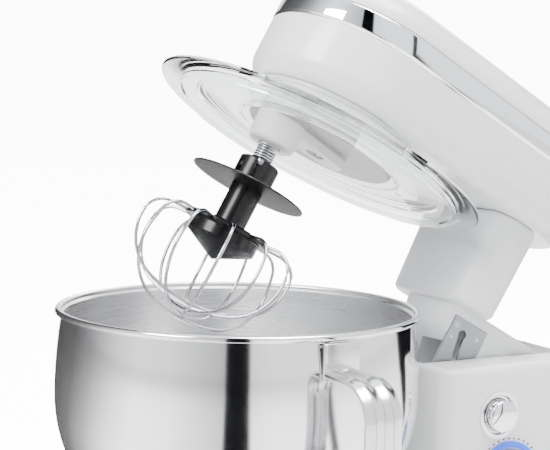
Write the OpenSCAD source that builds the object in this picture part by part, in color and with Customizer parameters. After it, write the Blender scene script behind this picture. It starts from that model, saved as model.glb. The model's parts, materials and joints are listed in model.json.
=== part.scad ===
// Tilt-head stand mixer with a steel bowl, a wire whisk and a clear splash guard.
// Units are millimetres. +Z is up, the nose of the head points to -Y and the
// controls are on the +X side. The origin is on the counter under the bowl's axis.
// Everything on the head is drawn level and then tipped open about the hinge.

/* [Bowl] */
// Radius over the rolled rim
bowl_r = 118; // [112:1:124]
// Height from the bowl's underside to its rim
bowl_h = 150; // [140:1:170]
// Thickness of the bowl's sheet steel
bowl_wall = 1.5; // [1:0.1:2]
// Angle between locked and unlocked
bowl_twist = 20; // [18:1:24]

/* [Base] */
// Height of the platform that the bowl stands on
platform_h = 38; // [34:1:48]
// Radius of the platform's front
platform_r = 100; // [90:1:110]
// Wall of the plastic housings
wall = 3; // [2:0.5:4]
// Half the width of the column
column_x = 58; // [54:1:70]
// Gap between the bowl and what stands behind it
bowl_gap = 6; // [4:1:12]

/* [Head] */
// Half the width of the head
head_r = 66; // [63:1:72]
// Length from the nose's centre to the tail's centre
head_len = 135; // [130:1:150]
// Height of the white lower shell
shell_h = 41; // [38:1:50]
// Height of the bright band
band_h = 16; // [10:1:22]
// Height of the top cover
top_h = 26; // [22:1:34]
// Angle that the head is tipped back
tilt = 29; // [20:1:30]
// Space between the bowl's rim and the head's underside
head_gap = 28; // [26:1:36]

/* [Hinge] */
// Distance from the bowl's axis to the hinge
hinge_y = 216; // [214:1:226]
// Height of the hinge below the bowl's rim
hinge_drop = 54; // [50:1:58]
// Radius of the hinge pin
hinge_pin_r = 5; // [4:0.5:6]
// Running clearance of shafts and pins, on the radius
running_gap = 0.05; // [0.02:0.01:0.08]

/* [Drive] */
// Gear module
gear_m = 1.8; // [1.8:0.1:2]
// Teeth of the fixed ring gear
ring_teeth = 50; // [48:1:52]
// Teeth of the planet gear
planet_teeth = 11; // [11:1:12]
// Teeth of the main gear
main_teeth = 40; // [38:1:42]
// Teeth of the countershaft pinion
pinion_teeth = 10; // [10:1:11]
// Radius of the whisk's drive shaft
shaft_r = 4; // [3:0.5:4.5]

/* [Whisk] */
// Radius of the wire balloon
whisk_r = 53; // [46:1:58]
// Depth of the wire balloon below the bowl's rim
whisk_depth = 138; // [132:1:140]
// Number of wire loops
whisk_loops = 6; // [4:1:8]
// Radius of the wire
wire_r = 1.1; // [0.8:0.1:1.3]
// Travel of the whisk against its spring
whisk_push = 5; // [3:0.5:6]

/* [Splash guard] */
// Radius of the clear guard
guard_r = 116; // [108:1:117]
// Thickness of the guard
guard_t = 2; // [1.5:0.5:3]

/* [Controls] */
// Radius of the speed dial
dial_r = 21; // [18:1:23]
// Radius of the push button
button_r = 11; // [9:1:12]
// Travel of the push button
button_push = 6; // [4:0.5:7]

/* [Hidden] */
$fn = 64;
eps = 0.01;

// Levels on the level head, all from the bowl's rim upwards
foot_h = 2;                                  // the feet lift the bottom cover
seat_h = 7;                                  // depth of the bowl seat
bowl_z = platform_h + 2;                     // underside of the bowl
rim_z = bowl_z + bowl_h;
head_z = rim_z + head_gap;                   // underside of the head
band_z = head_z + shell_h;
top_z = band_z + band_h;
hinge_z = rim_z - hinge_drop;
back_y = bowl_r + bowl_gap;                  // front of the neck and column

// Bowl profile
belly_h = 0.63 * bowl_h;                     // height of the widest part
belly_drop = 1.14 * belly_h;                 // the belly is the top of this ellipse
neck_in = 4;                                 // the wall draws in below the rim
rim_bead = 2.2;
foot_ring_r = 54;
lug_out = 5;
lug_t = 2;
lug_angle = 14;
lugs = 3;

// Base
cover_t = 3;
rubber_r = 13;
seat_r = foot_ring_r + lug_out + 5;
seat_screw_r = 34;
board_t = 1.6;
inlet_x = -20;
inlet_z = 22;
board_off = 5;                               // the board stands off the column's wall
deck_z = hinge_z + 12;                       // top of the column
column_back = hinge_y + 36;
column_len = column_back - back_y;
column_mid = (column_back + back_y) / 2;
foot_x = 26;                                 // half width of the neck's foot
foot_gap = 2;
cheek_t = 7;
cheek_x = foot_x + foot_gap + 1;
boss_r = 11;

// Bowl handle
handle_w = 25;
handle_turn = 4;
handle_t = 3.5;
strap_out = 44;
strap_bend = 24;
plate_h = 22;
plate_z0 = rim_z - 27;
strap_low = bowl_z + 50;

// Lock: the pin stands still and the plate's slot swings past it
lock_y = hinge_y - 63.4;
lock_z = hinge_z - 2;
lock_arm = norm([lock_y - hinge_y, lock_z - hinge_z]);
plate_t = 2;
slot_r = 2.7;
hole_r = 3.4;
lock_neck_r = 2.3;
lock_collar_r = 3;
button_y = hinge_y - 47;
button_z = hinge_z - 21;
latch_x = 44;

// Neck, on the level head
neck_w = 100;
neck_d = 42;
neck_y = back_y - 2 + neck_d / 2;
neck_z = deck_z + 1.5;
neck_wall = 5;
foot_bottom = hinge_z - 42;
bumper_h = 8;
bumper_w = 24;
bumper_d = 14;
bumper_y = hinge_y - 36;
bumper_gap = 0.5;
plate_w = 31;
plate_y = lock_y - 12;
plate_low = foot_bottom + 3;
plate_top = lock_z + 10;

// Dial
dial_y = hinge_y - 38;
dial_z = hinge_z - 66;

// Drive, on the level head
orbit_r = gear_m * (ring_teeth - planet_teeth) / 2;
whisk_turn = 9;                              // the whisk stands a little off the nose
counter_y = gear_m * (main_teeth + pinion_teeth) / 2;
motor_y = head_len - 5;
pulley_r = 7;
driven_r = 30;
belt_t = 2;
belt_gap = 0.3;
ring_z = head_z + 4;
ring_t = 10;
ring_out = 51;
frame_t = 3;
bearing_r = 11;
bearing_t = 4;
shaft_main_r = 5;
counter_r = 3;
counter_bush_r = 5;
frame_z = ring_z + ring_t + 3;
main_gear_z = frame_z + 7;
gear_t = 8;
belt_z = main_gear_z + gear_t + 4;
belt_h = 9;
motor_r = 30;
motor_low = head_z + wall;
motor_h = belt_z - motor_low - 3;
rotor_r = 3;
carrier_r = 52;
carrier_low = rim_z + 6;
arm_low = rim_z;
boss_low = arm_low - 13;
arm_r = 16;
collar_top = boss_low - 12;
collar_low = collar_top - 15;
disc_z = collar_low - 4;
stem_r = 10.5;
collar_r = 13.5;
hub_r = 29;
hub_z = disc_z - 27;                         // top of the hub's disc
hub_drum_r = 23.5;
cone_h = 12;
hub_t = 3.2;
wire_top = hub_z - hub_t - 0.7 + wire_r;
pin_r = 1.5;
pin_z = collar_top - 7;
guard_z = rim_z + 4;
guard_ring_h = 14;
guard_twist = 15;
guard_lug = 10;
mount_ring_r = 54;
mount_ring_t = 2;

shell_white = [0.93, 0.93, 0.94];
light_grey = [0.78, 0.79, 0.8];
steel = [0.75, 0.76, 0.78];
black = [0.06, 0.06, 0.07];

// ---------- helpers ----------

// Tips what is drawn on the level head open about the hinge
module on_head() {
    translate([0, hinge_y, hinge_z])
        rotate([-tilt, 0, 0])
            translate([0, -hinge_y, -hinge_z])
                children();
}

// Moves to the whisk's axis on the level head
module on_whisk() {
    rotate([0, 0, -90 + whisk_turn])
        translate([orbit_r, 0, 0])
            children();
}

module tube(r_out, r_in, h) {
    difference() {
        cylinder(r = r_out, h = h);
        translate([0, 0, -1])
            cylinder(r = r_in, h = h + 2);
    }
}

module rounded_rect(w, d, r) {
    square([w - 2 * r, d], center = true);
    square([w, d - 2 * r], center = true);
    for (sx = [-1, 1], sy = [-1, 1])
        translate([sx * (w / 2 - r), sy * (d / 2 - r)])
            circle(r = r);
}

module rounded_block(w, d, h, r) {
    linear_extrude(height = h)
        rounded_rect(w, d, r);
}

// Outline of the head seen from above: round nose, straight sides, round tail
module head_outline(r) {
    circle(r = r);
    translate([0, head_len])
        circle(r = r);
    translate([-r, 0])
        square([2 * r, head_len]);
}

// A wall of the head: the half profile is turned at the nose and tail and
// run straight along the sides
module head_wall(profile) {
    for (y = [0, head_len])
        translate([0, y, 0])
            rotate([0, 0, y > 0 ? 0 : 180])
                rotate_extrude(angle = 180)
                    polygon(profile);
    for (s = [-1, 1])
        translate([0, s > 0 ? head_len : 0, 0])
            rotate([90, 0, s > 0 ? 0 : 180])
                linear_extrude(height = head_len)
                    polygon(profile);
}

// Points on an arc from angle a to angle b
function arc(cx, cy, r, a, b, n = 8) =
    [for (i = [0 : n]) let (t = a + (b - a) * i / n) [cx + r * cos(t), cy + r * sin(t)]];

// Pan-head screw with a cross recess, head upwards at z = 0
module screw(r = 1.5, l = 8, head = 3, t = 1.8) {
    slot = head * 1.1;
    difference() {
        union() {
            cylinder(r = head, h = t);
            translate([0, 0, -l])
                cylinder(r = r, h = l + eps);
        }
        for (a = [0, 90])
            rotate([0, 0, a])
                translate([-slot / 2, -head / 8, t - 1])
                    cube([slot, head / 4, 2]);
    }
}

// ---------- gears ----------

pressure = 25;
function inv(a) = tan(a) * 180 / PI - a;
function tooth_half(r, rp, rb, s) =
    let (ratio = min(1, rb / r)) s / rp * 90 / PI + inv(pressure) - inv(acos(ratio));

// Outline of an involute gear: s is the tooth's thickness on the pitch circle
function gear_points(teeth, m, s, r_tip, r_root, n = 4) =
    let (rp = m * teeth / 2, rb = rp * cos(pressure), r0 = max(rb, r_root))
    [for (k = [0 : teeth - 1])
        let (
            c = 360 * k / teeth,
            flank = [for (i = [0 : n]) let (r = r0 + (r_tip - r0) * i / n) [r, tooth_half(r, rp, rb, s)]],
            root = [[r_root, flank[0][1]]],
            side = r0 > r_root + eps ? concat(root, flank) : flank
        )
        each concat(
            [for (p = side) [p[0] * cos(c - p[1]), p[0] * sin(c - p[1])]],
            [for (i = [len(side) - 1 : -1 : 0]) let (p = side[i]) [p[0] * cos(c + p[1]), p[0] * sin(c + p[1])]]
        )
    ];

backlash = 0.35;
tooth_s = PI * gear_m / 2;

module gear_2d(teeth) {
    rp = gear_m * teeth / 2;
    polygon(gear_points(teeth, gear_m, tooth_s - backlash, rp + 0.75 * gear_m, rp - 1.05 * gear_m));
}

// The tooth spaces of the ring gear, as a cutter
module ring_cutter_2d(teeth) {
    rp = gear_m * teeth / 2;
    polygon(gear_points(teeth, gear_m, tooth_s + backlash, rp + 1.05 * gear_m, rp - 0.7 * gear_m));
}

// ---------- base ----------

module base_outline(inset = 0) {
    back_r = 26;
    hull() {
        circle(r = platform_r - inset);
        for (s = [-1, 1])
            translate([s * column_x, column_back - back_r])
                circle(r = back_r - inset, $fn = 32);
    }
}

module column_block(inset, low, high) {
    translate([0, column_mid, low])
        rounded_block(2 * (column_x - inset), column_len - 2 * inset, high - low, 12 - inset);
}

module base_housing() {
    low = foot_h + cover_t;
    edge = 5;
    color(shell_white)
    difference() {
        union() {
            difference() {
                union() {
                    translate([0, 0, low])
                        linear_extrude(height = platform_h - edge - low)
                            base_outline();
                    translate([0, 0, platform_h - edge])
                        linear_extrude(height = edge)
                            base_outline(2);
                }
                translate([0, 0, low - 1])
                    linear_extrude(height = platform_h - edge - low - wall + 1)
                        base_outline(wall);
                translate([0, 0, low + 1])
                    linear_extrude(height = platform_h - low - wall - 1)
                        base_outline(wall + 2);
            }
            column_block(0, platform_h - eps, deck_z);
            // boss rings for the bottom cover's screws
            for (p = cover_screw_places())
                translate([p[0], p[1], low])
                    cylinder(r = 4.5, h = platform_h - low - 1);
        }
        // hollow column
        column_block(wall, platform_h, deck_z - wall);
        // slot in the deck that the neck's foot drops through
        translate([-foot_x - foot_gap, back_y + wall, deck_z - wall - 1])
            cube([2 * (foot_x + foot_gap), column_len - 2 * wall, wall + 2]);
        // well for the bowl seat
        translate([0, 0, platform_h - seat_h])
            cylinder(r = seat_r, h = seat_h + 1);
        // way for the wires between the platform and the column
        translate([-30, back_y + 30, platform_h - wall - 1])
            cylinder(r = 8, h = wall + 2);
        // holes for the controls
        side_hole(button_y, button_z, button_r + 4);
        side_hole(dial_y, dial_z, 5);
        // cord inlet
        translate([inlet_x, column_back + 1, inlet_z])
            rotate([90, 0, 0])
                cylinder(r = 5, h = wall + 12);
        for (p = cover_screw_places())
            translate([p[0], p[1], low - 1])
                cylinder(r = 1.5, h = 12);
        for (a = seat_screw_angles())
            rotate([0, 0, a])
                translate([seat_screw_r, 0, platform_h - seat_h - wall - 1])
                    cylinder(r = 1.5, h = wall + 2);
    }
    color(shell_white) {
        seat_floor_plate();
        hinge_cheeks();
        spring_rib();
        bumper_post();
    }
}

function seat_screw_angles() = [45, 135, 225, 315];
function cover_screw_places() = [
    [-70, 20], [70, 20], [-68, 200], [68, 200]
];

module side_hole(y, z, r) {
    translate([column_x + 1, y, z])
        rotate([0, -90, 0])
            cylinder(r = r, h = wall + 2);
}

// Floor of the well that the seat is screwed to
module seat_floor_plate() {
    difference() {
        translate([0, 0, platform_h - seat_h - wall])
            cylinder(r = seat_r + wall, h = wall);
        for (a = seat_screw_angles())
            rotate([0, 0, a])
                translate([seat_screw_r, 0, platform_h - seat_h - wall - 1])
                    cylinder(r = 1.5, h = wall + 2);
    }
    difference() {
        translate([0, 0, platform_h - seat_h - eps])
            cylinder(r = seat_r + wall, h = seat_h - wall / 2);
        translate([0, 0, platform_h - seat_h - 1])
            cylinder(r = seat_r, h = seat_h + 2);
    }
}

// Two cheeks inside the column carry the hinge pin
module hinge_cheeks() {
    for (s = [0, 1])
        mirror([s, 0, 0])
            difference() {
                union() {
                    translate([cheek_x, hinge_y - boss_r, platform_h - wall])
                        cube([cheek_t, 2 * boss_r, hinge_z - platform_h + wall]);
                    translate([cheek_x, hinge_y, hinge_z])
                        rotate([0, 90, 0])
                            cylinder(r = boss_r, h = cheek_t);
                    translate([cheek_x, hinge_y - boss_r, platform_h - wall])
                        cube([column_x - wall - cheek_x + 1, wall, hinge_z - platform_h]);
                }
                translate([cheek_x - 1, hinge_y, hinge_z])
                    rotate([0, 90, 0])
                        cylinder(r = hinge_pin_r, h = cheek_t + 2);
            }
}

// A rib that the button's spring pushes against
module spring_rib() {
    translate([cheek_x + 1, button_y - 9, platform_h - wall])
        cube([wall, 18, button_z - platform_h + wall + 8]);
    translate([cheek_x + 1, button_y - 9, platform_h - wall])
        cube([column_x - wall - cheek_x, wall, 30]);
}

module bottom_cover() {
    color(black)
    difference() {
        translate([0, 0, foot_h])
            linear_extrude(height = cover_t)
                base_outline(1);
        for (p = foot_places())
            translate([p[0], p[1], 0])
                cylinder(r = rubber_r + 0.3, h = 20);
        for (p = cover_screw_places())
            translate([p[0], p[1], 0]) {
                cylinder(r = 1.7, h = 20);
                translate([0, 0, foot_h - 1])
                    cylinder(r = 3.3, h = 2.6);
            }
    }
}

function foot_places() = [
    [-52, -58], [52, -58], [-72, 62], [72, 62], [-58, 224], [58, 224]
];

module rubber_feet() {
    color(black)
        for (p = foot_places())
            translate([p[0], p[1], 0])
                difference() {
                    union() {
                        cylinder(r = rubber_r, h = foot_h + cover_t);
                        translate([0, 0, foot_h + cover_t])
                            cylinder(r = rubber_r + 2, h = 2);
                    }
                    translate([0, 0, -eps])
                        cylinder(r = rubber_r - 4, h = 1);
                }
}

module bottom_screws() {
    color(steel)
        for (p = cover_screw_places())
            translate([p[0], p[1], foot_h + 1.6])
                rotate([180, 0, 0])
                    screw(r = 1.5, l = 10, head = 3, t = 1.4);
}

// Ring that the bowl twists into: lugs pass the gaps and turn under the flanges
module bowl_seat() {
    low = platform_h - seat_h;
    top = platform_h - 0.5;
    flange_t = 2;
    margin = 2;
    stop_angle = 3;
    color(light_grey)
    difference() {
        union() {
            translate([0, 0, low])
                cylinder(r = seat_r - 0.3, h = 2);
            translate([0, 0, low])
                tube(seat_r - 0.3, foot_ring_r + lug_out + 0.8, top - low);
            for (i = [0 : lugs - 1])
                rotate([0, 0, 360 / lugs * i]) {
                    // flange over the locked lug
                    rotate([0, 0, -margin - stop_angle])
                        rotate_extrude(angle = lug_angle + margin + stop_angle + 1)
                            translate([foot_ring_r + 0.6, top - flange_t])
                                square([lug_out + 3, flange_t]);
                    // stops at the two ends of the twist
                    for (a = [-margin - stop_angle, lug_angle + bowl_twist + margin])
                        rotate([0, 0, a])
                            rotate_extrude(angle = stop_angle)
                                translate([foot_ring_r + 0.6, low + 1])
                                    square([lug_out + 3, top - low - 1]);
                }
        }
        for (a = seat_screw_angles())
            rotate([0, 0, a])
                translate([seat_screw_r, 0, low - 1])
                    cylinder(r = 1.7, h = 5);
        translate([0, 0, low - 1])
            cylinder(r = 12, h = 10);
    }
}

module seat_screws() {
    low = platform_h - seat_h;
    color(steel)
        for (a = seat_screw_angles())
            rotate([0, 0, a])
                translate([seat_screw_r, 0, low + 2])
                    screw(r = 1.5, l = 5, head = 3, t = 1.4);
}

// ---------- controls on the column's right side ----------

module on_side(y, z) {
    translate([column_x, y, z])
        rotate([90, 0, 90])
            children();
}

module dial_light_ring() {
    color([0.1, 0.35, 0.9])
        on_side(dial_y, dial_z)
            tube(dial_r + 5, dial_r + 1, 1.6);
}

module dial_tick_ring() {
    ticks = 40;
    ring = dial_r + 7;
    color(black)
        on_side(dial_y, dial_z)
            for (i = [0 : ticks - 1])
                rotate([0, 0, 360 / ticks * i])
                    translate([ring, 0, 0])
                        cylinder(r = 0.6, h = 0.4);
}

module button_bezel() {
    color(light_grey)
        on_side(button_y, button_z) {
            translate([0, 0, -wall])
                tube(button_r + 3.9, button_r + 0.4, wall + 0.4);
            tube(button_r + 5, button_r + 2, 0.8);
        }
}

module speed_switch() {
    color([0.2, 0.2, 0.22])
        on_side(dial_y, dial_z)
            translate([0, 0, -wall - 16])
                difference() {
                    cylinder(r = 12, h = 16);
                    translate([0, 0, 3])
                        cylinder(r = 3 + running_gap, h = 20);
                }
}

module circuit_board() {
    color([0.1, 0.4, 0.2])
        difference() {
            translate([-column_x + wall + board_off, back_y + 14, platform_h + 8])
                cube([board_t, 50, 60]);
            for (p = board_screw_places())
                translate([-column_x, p[0], p[1]])
                    rotate([0, 90, 0])
                        cylinder(r = 1.4, h = 20);
        }
    color(black)
        for (i = [0 : 2])
            translate([-column_x + wall + board_off + board_t, back_y + 22 + 13 * i, platform_h + 20 + 8 * i])
                cube([7, 9, 12]);
}

function board_screw_places() = [
    for (y = [back_y + 18, back_y + 60], z = [platform_h + 12, platform_h + 64]) [y, z]
];

// Screws with spacers that hold the board off the column's wall
module board_screws() {
    color(steel)
        for (p = board_screw_places())
            translate([-column_x + wall, p[0], p[1]])
                rotate([0, 90, 0]) {
                    cylinder(r = 1.2, h = board_off + board_t);
                    cylinder(r = 3, h = board_off);
                    translate([0, 0, board_off + board_t])
                        cylinder(r = 2.4, h = 1.4);
                }
}

module hinge_pin() {
    color(steel)
        translate([-cheek_x - cheek_t - 4, hinge_y, hinge_z])
            rotate([0, 90, 0])
                difference() {
                    cylinder(r = hinge_pin_r, h = 2 * (cheek_x + cheek_t + 4));
                    for (x = [1.5, 2 * (cheek_x + cheek_t + 4) - 2.7])
                        translate([0, 0, x])
                            tube(hinge_pin_r + 1, hinge_pin_r - 1, 1.2);
                }
}

module hinge_pin_clips() {
    color(steel)
        for (s = [0, 1])
            mirror([s, 0, 0])
                translate([cheek_x + cheek_t + 1.4, hinge_y, hinge_z])
                    rotate([0, 90, 0])
                        difference() {
                            tube(hinge_pin_r + 3, hinge_pin_r - 0.9, 1);
                            translate([0, -2, -1])
                                cube([20, 4, 4]);
                        }
}

module cord_inlet() {
    color(black)
        translate([inlet_x, column_back, inlet_z])
            rotate([-90, 0, 0]) {
                tube(8, 3.6, 3);
                translate([0, 0, -wall - 2])
                    tube(4.9, 3.6, wall + 3);
                translate([0, 0, -wall - 4])
                    tube(7, 3.6, 2.5);
            }
}

// Rubber block that the neck's foot lands on when the head is level
module head_bumper() {
    color(black)
        translate([-bumper_w / 2, bumper_y, foot_bottom - bumper_gap - bumper_h])
            cube([bumper_w, bumper_d, bumper_h]);
}

// Post inside the column that carries the bumper
module bumper_post() {
    translate([-bumper_w / 2, bumper_y, platform_h - wall])
        cube([bumper_w, bumper_d, foot_bottom - bumper_gap - bumper_h - platform_h + wall]);
}

module speed_dial() {
    skirt = 9;
    color(steel)
        on_side(dial_y, dial_z) {
            difference() {
                union() {
                    translate([0, 0, 0.8])
                        cylinder(r = dial_r, h = skirt);
                    translate([0, 0, skirt + 0.8])
                        cylinder(r1 = dial_r, r2 = dial_r - 1.5, h = 1.5);
                }
                translate([0, 0, skirt + 1.4])
                    cylinder(r = dial_r - 4, h = 2);
                translate([-0.8, dial_r - 9, skirt - 0.4])
                    cube([1.6, 7, 4]);
            }
            translate([0, 0, -wall - 10])
                cylinder(r = 3, h = wall + 11);
        }
}

module release_button() {
    depth = 4;
    color(steel)
        on_side(button_y, button_z) {
            translate([0, 0, -depth])
                cylinder(r = button_r, h = depth + 7);
            translate([0, 0, 7])
                cylinder(r1 = button_r, r2 = button_r - 2, h = 1.5);
            translate([0, 0, latch_x + plate_t - column_x])
                cylinder(r = 4, h = column_x - latch_x - plate_t - depth + eps);
        }
}

// Steel plate behind the button, with the stepped lock pin
module latch_plate() {
    collar_x = foot_x - plate_t - 4;
    color(light_grey)
        translate([latch_x, 0, 0])
            rotate([90, 0, 90])
                linear_extrude(height = plate_t)
                    hull() {
                        translate([button_y, button_z])
                            circle(r = 8, $fn = 32);
                        translate([lock_y, lock_z])
                            circle(r = 6, $fn = 32);
                    }
    color(steel)
        translate([0, lock_y, lock_z])
            rotate([0, 90, 0]) {
                translate([0, 0, collar_x])
                    cylinder(r = lock_neck_r, h = latch_x - collar_x + eps);
                translate([0, 0, collar_x])
                    cylinder(r = lock_collar_r, h = 3.4);
            }
}

// Helix as one closed tube: rings of points along the coil
module coil(r, wire, length, turns, per_turn = 14, sides = 8) {
    n = turns * per_turn;
    rise = length - 2 * wire;
    ring = [for (i = [0 : n]) let (a = 360 * i / per_turn, z = wire + rise * i / n)
        for (k = [0 : sides - 1]) let (b = 360 * k / sides)
            [(r + wire * cos(b)) * cos(a), (r + wire * cos(b)) * sin(a), z + wire * sin(b)]];
    faces = concat(
        [[for (k = [0 : sides - 1]) k]],
        [for (i = [0 : n - 1], k = [0 : sides - 1])
            let (k2 = (k + 1) % sides, p = i * sides)
            [p + k, p + sides + k, p + sides + k2, p + k2]],
        [[for (k = [sides - 1 : -1 : 0]) n * sides + k]]
    );
    polyhedron(points = ring, faces = faces);
}

module button_spring() {
    color(steel)
        translate([cheek_x + 1 + wall, button_y, button_z])
            rotate([0, 90, 0])
                coil(5.5, 0.5, latch_x - cheek_x - 1 - wall, 4, 12, 6);
}

// ---------- head ----------

module head_shell() {
    r = 12;                                   // of the shell's lower edge
    outer = concat(
        [[0, head_z], [head_r - r, head_z]],
        arc(head_r - r, head_z + r, r, -75, 0, 5),
        [[head_r, band_z], [head_r - wall, band_z]],
        arc(head_r - r, head_z + r, r - wall, 0, -75, 5),
        [[head_r - r, head_z + wall], [0, head_z + wall]]
    );
    color(shell_white)
    on_head()
        difference() {
            head_wall(outer);
            translate([0, 0, head_z - 1])
                cylinder(r = carrier_r + 1, h = wall + 2);
            // passage from the neck for the wires
            translate([0, neck_y, head_z - 1])
                cylinder(r = 9, h = wall + 2);
            for (p = neck_screw_places())
                translate([p[0], p[1], head_z - 1])
                    cylinder(r = 2, h = wall + 2);
        }
}

module chrome_band() {
    proud = 0.5;
    color(steel)
    on_head()
        head_wall([
            [head_r - wall, band_z], [head_r - 0.5, band_z],
            [head_r + proud, band_z + 1.5], [head_r + proud, top_z - 1.5],
            [head_r - 0.5, top_z], [head_r - wall, top_z]
        ]);
}

module top_cover() {
    color(shell_white)
    on_head()
        head_wall(concat(crown(head_r - 0.5, top_h, 1), crown(head_r - wall, top_h - wall, -1)));
}

// Crowned section of the top cover from its edge to its ridge, or back again
function crown(r, h, way, n = 10) =
    [for (i = [0 : n]) let (t = 90 * (way > 0 ? i : n - i) / n) [r * sqrt(cos(t)), top_z + h * sin(t)]];

function neck_screw_places() = [[-34, neck_y], [34, neck_y]];

// Side view of the foot that drops into the column: y, z
function foot_outline() = concat(
    [[back_y + 9, neck_z + 4], [back_y + 9, hinge_z + 8], [lock_y - 9, hinge_z - 12], [lock_y - 4, foot_bottom],
     [hinge_y - 22, foot_bottom]],
    arc(hinge_y, hinge_z, 24, -110, 0, 8),
    [[hinge_y + 24, neck_z + 2.5], [back_y + 20, neck_z + 2.5], [back_y + 20, neck_z + 4]]
);

// Swings a shape along the lock slot: the band between two radii about the hinge
module lock_sweep(r, x0, x1) {
    low = tilt;
    translate([x0, hinge_y, hinge_z])
        rotate([90, 0, 90]) {
            a0 = atan2(lock_z - hinge_z, lock_y - hinge_y);
            rotate([0, 0, a0])
                rotate_extrude(angle = low)
                    translate([lock_arm - r, 0])
                        square([2 * r, x1 - x0]);
            for (a = [a0, a0 + low])
                rotate([0, 0, a])
                    translate([lock_arm, 0, 0])
                        cylinder(r = r, h = x1 - x0);
        }
}

module neck() {
    color(shell_white)
    on_head()
        difference() {
            union() {
                difference() {
                    translate([0, neck_y, neck_z])
                        rounded_block(neck_w, neck_d, head_z - neck_z, 18);
                    translate([0, neck_y, neck_z + 8])
                        rounded_block(neck_w - 2 * neck_wall, neck_d - 2 * neck_wall,
                            head_z - neck_z - 8 - neck_wall, 13);
                }
                translate([-foot_x, 0, 0])
                    rotate([90, 0, 90])
                        linear_extrude(height = 2 * foot_x)
                            polygon(foot_outline());
            }
            // wire way up through the neck
            translate([0, neck_y, neck_z - 10])
                cylinder(r = 9, h = head_z - neck_z + 20);
            for (p = neck_screw_places())
                translate([p[0], p[1], head_z - 20])
                    cylinder(r = 2, h = 30);
            // barrel for the hinge bushes
            translate([-foot_x - 1, hinge_y, hinge_z])
                rotate([0, 90, 0])
                    cylinder(r = hinge_pin_r + 3, h = 2 * foot_x + 2);
            // recess for the lock plate, hollow behind it for the pin's collar
            translate([foot_x - plate_t, plate_y, plate_low])
                cube([plate_t + 1, plate_w, plate_top - plate_low]);
            lock_sweep(5, -4, foot_x + 1);
            translate([-20, plate_y, foot_bottom + 5])
                cube([30, 22, plate_top - foot_bottom - 10]);
            plate_holes(1.2, foot_x - plate_t - 7);
        }
}

function plate_screw_places() = [[plate_y + 4, plate_top - 5], [plate_y + plate_w - 5, plate_low + 12]];
function plate_rivet_places() = [[plate_y + 4, plate_top - 15], [plate_y + plate_w - 6, plate_top - 8]];

module plate_holes(r, x) {
    for (p = concat(plate_screw_places(), plate_rivet_places()))
        translate([x, p[0], p[1]])
            rotate([0, 90, 0])
                cylinder(r = r, h = 30);
}

module lock_plate() {
    color(light_grey)
    on_head()
        difference() {
            translate([foot_x - plate_t, plate_y + 0.2, plate_low + 0.2])
                cube([plate_t, plate_w - 0.4, plate_top - plate_low - 0.4]);
            lock_sweep(slot_r, foot_x - plate_t - 1, foot_x + 1);
            for (a = [0, tilt])
                translate([foot_x - plate_t - 1, hinge_y, hinge_z])
                    rotate([a, 0, 0])
                        translate([0, lock_y - hinge_y, lock_z - hinge_z])
                            rotate([0, 90, 0])
                                cylinder(r = hole_r, h = plate_t + 2);
            plate_holes(1.2, foot_x - plate_t - 1);
        }
}

module lock_plate_screws() {
    color(steel)
    on_head()
        for (p = plate_screw_places())
            translate([foot_x, p[0], p[1]])
                rotate([0, 90, 0])
                    screw(r = 1.2, l = 7, head = 3, t = 1.2);
}

module lock_plate_rivets() {
    color(steel)
    on_head()
        for (p = plate_rivet_places())
            translate([foot_x, p[0], p[1]])
                rotate([0, 90, 0]) {
                    cylinder(r1 = 1.9, r2 = 1.2, h = 0.7);
                    translate([0, 0, -5])
                        cylinder(r = 1.2, h = 5);
                }
}

module hinge_bushes() {
    color([0.8, 0.65, 0.35])
        for (s = [0, 1])
            mirror([s, 0, 0])
                translate([foot_x - 14, hinge_y, hinge_z])
                    rotate([0, 90, 0]) {
                        tube(hinge_pin_r + 2.95, hinge_pin_r + running_gap, 14);
                        translate([0, 0, 14])
                            tube(hinge_pin_r + 5, hinge_pin_r + running_gap, 1.2);
                    }
}

// ---------- drive inside the head ----------

module gearbox_frame() {
    color([0.55, 0.56, 0.58])
    on_head()
        difference() {
            union() {
                // floor plate over the ring gear
                translate([0, 0, frame_z])
                    linear_extrude(height = frame_t)
                        frame_outline();
                // skirt around the ring gear
                translate([0, 0, head_z + wall])
                    tube(ring_out + 3, ring_out, frame_z - head_z - wall + eps);
                // boss for the main bearings
                translate([0, 0, frame_z - bearing_t])
                    cylinder(r = bearing_r + 2, h = 2 * bearing_t + 1);
                // boss for the countershaft
                translate([0, counter_y, frame_z - eps])
                    cylinder(r = 7, h = 6);
                // pillars down to the shell
                for (p = frame_pillars())
                    translate([p[0], p[1], head_z + wall])
                        cylinder(r = 5, h = frame_z - head_z - wall + eps);
            }
            translate([0, 0, frame_z - bearing_t - 1])
                cylinder(r = bearing_r, h = 2 * bearing_t + 1);
            translate([0, 0, frame_z - bearing_t - 1])
                cylinder(r = shaft_main_r + 2, h = 30);
            translate([0, counter_y, frame_z - 1])
                cylinder(r = counter_bush_r, h = 30);
        }
}

function frame_pillars() = [[-50, counter_y + 25], [50, counter_y + 25]];

module frame_outline() {
    r = ring_out + 3;
    circle(r = r);
    translate([-r, 0])
        square([2 * r, counter_y + 30]);
}

module ring_gear() {
    color(steel)
    on_head()
        translate([0, 0, ring_z])
            linear_extrude(height = ring_t)
                difference() {
                    circle(r = ring_out);
                    rotate(-90 + whisk_turn)
                        ring_cutter_2d(ring_teeth);
                }
}

// Ring under the head that the splash guard hangs on
module guard_mount_ring() {
    color(light_grey)
    on_head()
        translate([0, 0, head_z - guard_ring_h]) {
            tube(mount_ring_r + mount_ring_t, mount_ring_r, guard_ring_h);
            for (i = [0 : 2])
                rotate([0, 0, 120 * i + 30])
                    rotate_extrude(angle = guard_lug)
                        translate([mount_ring_r + mount_ring_t - eps, 2])
                            square([2.2, 2]);
        }
}

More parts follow.
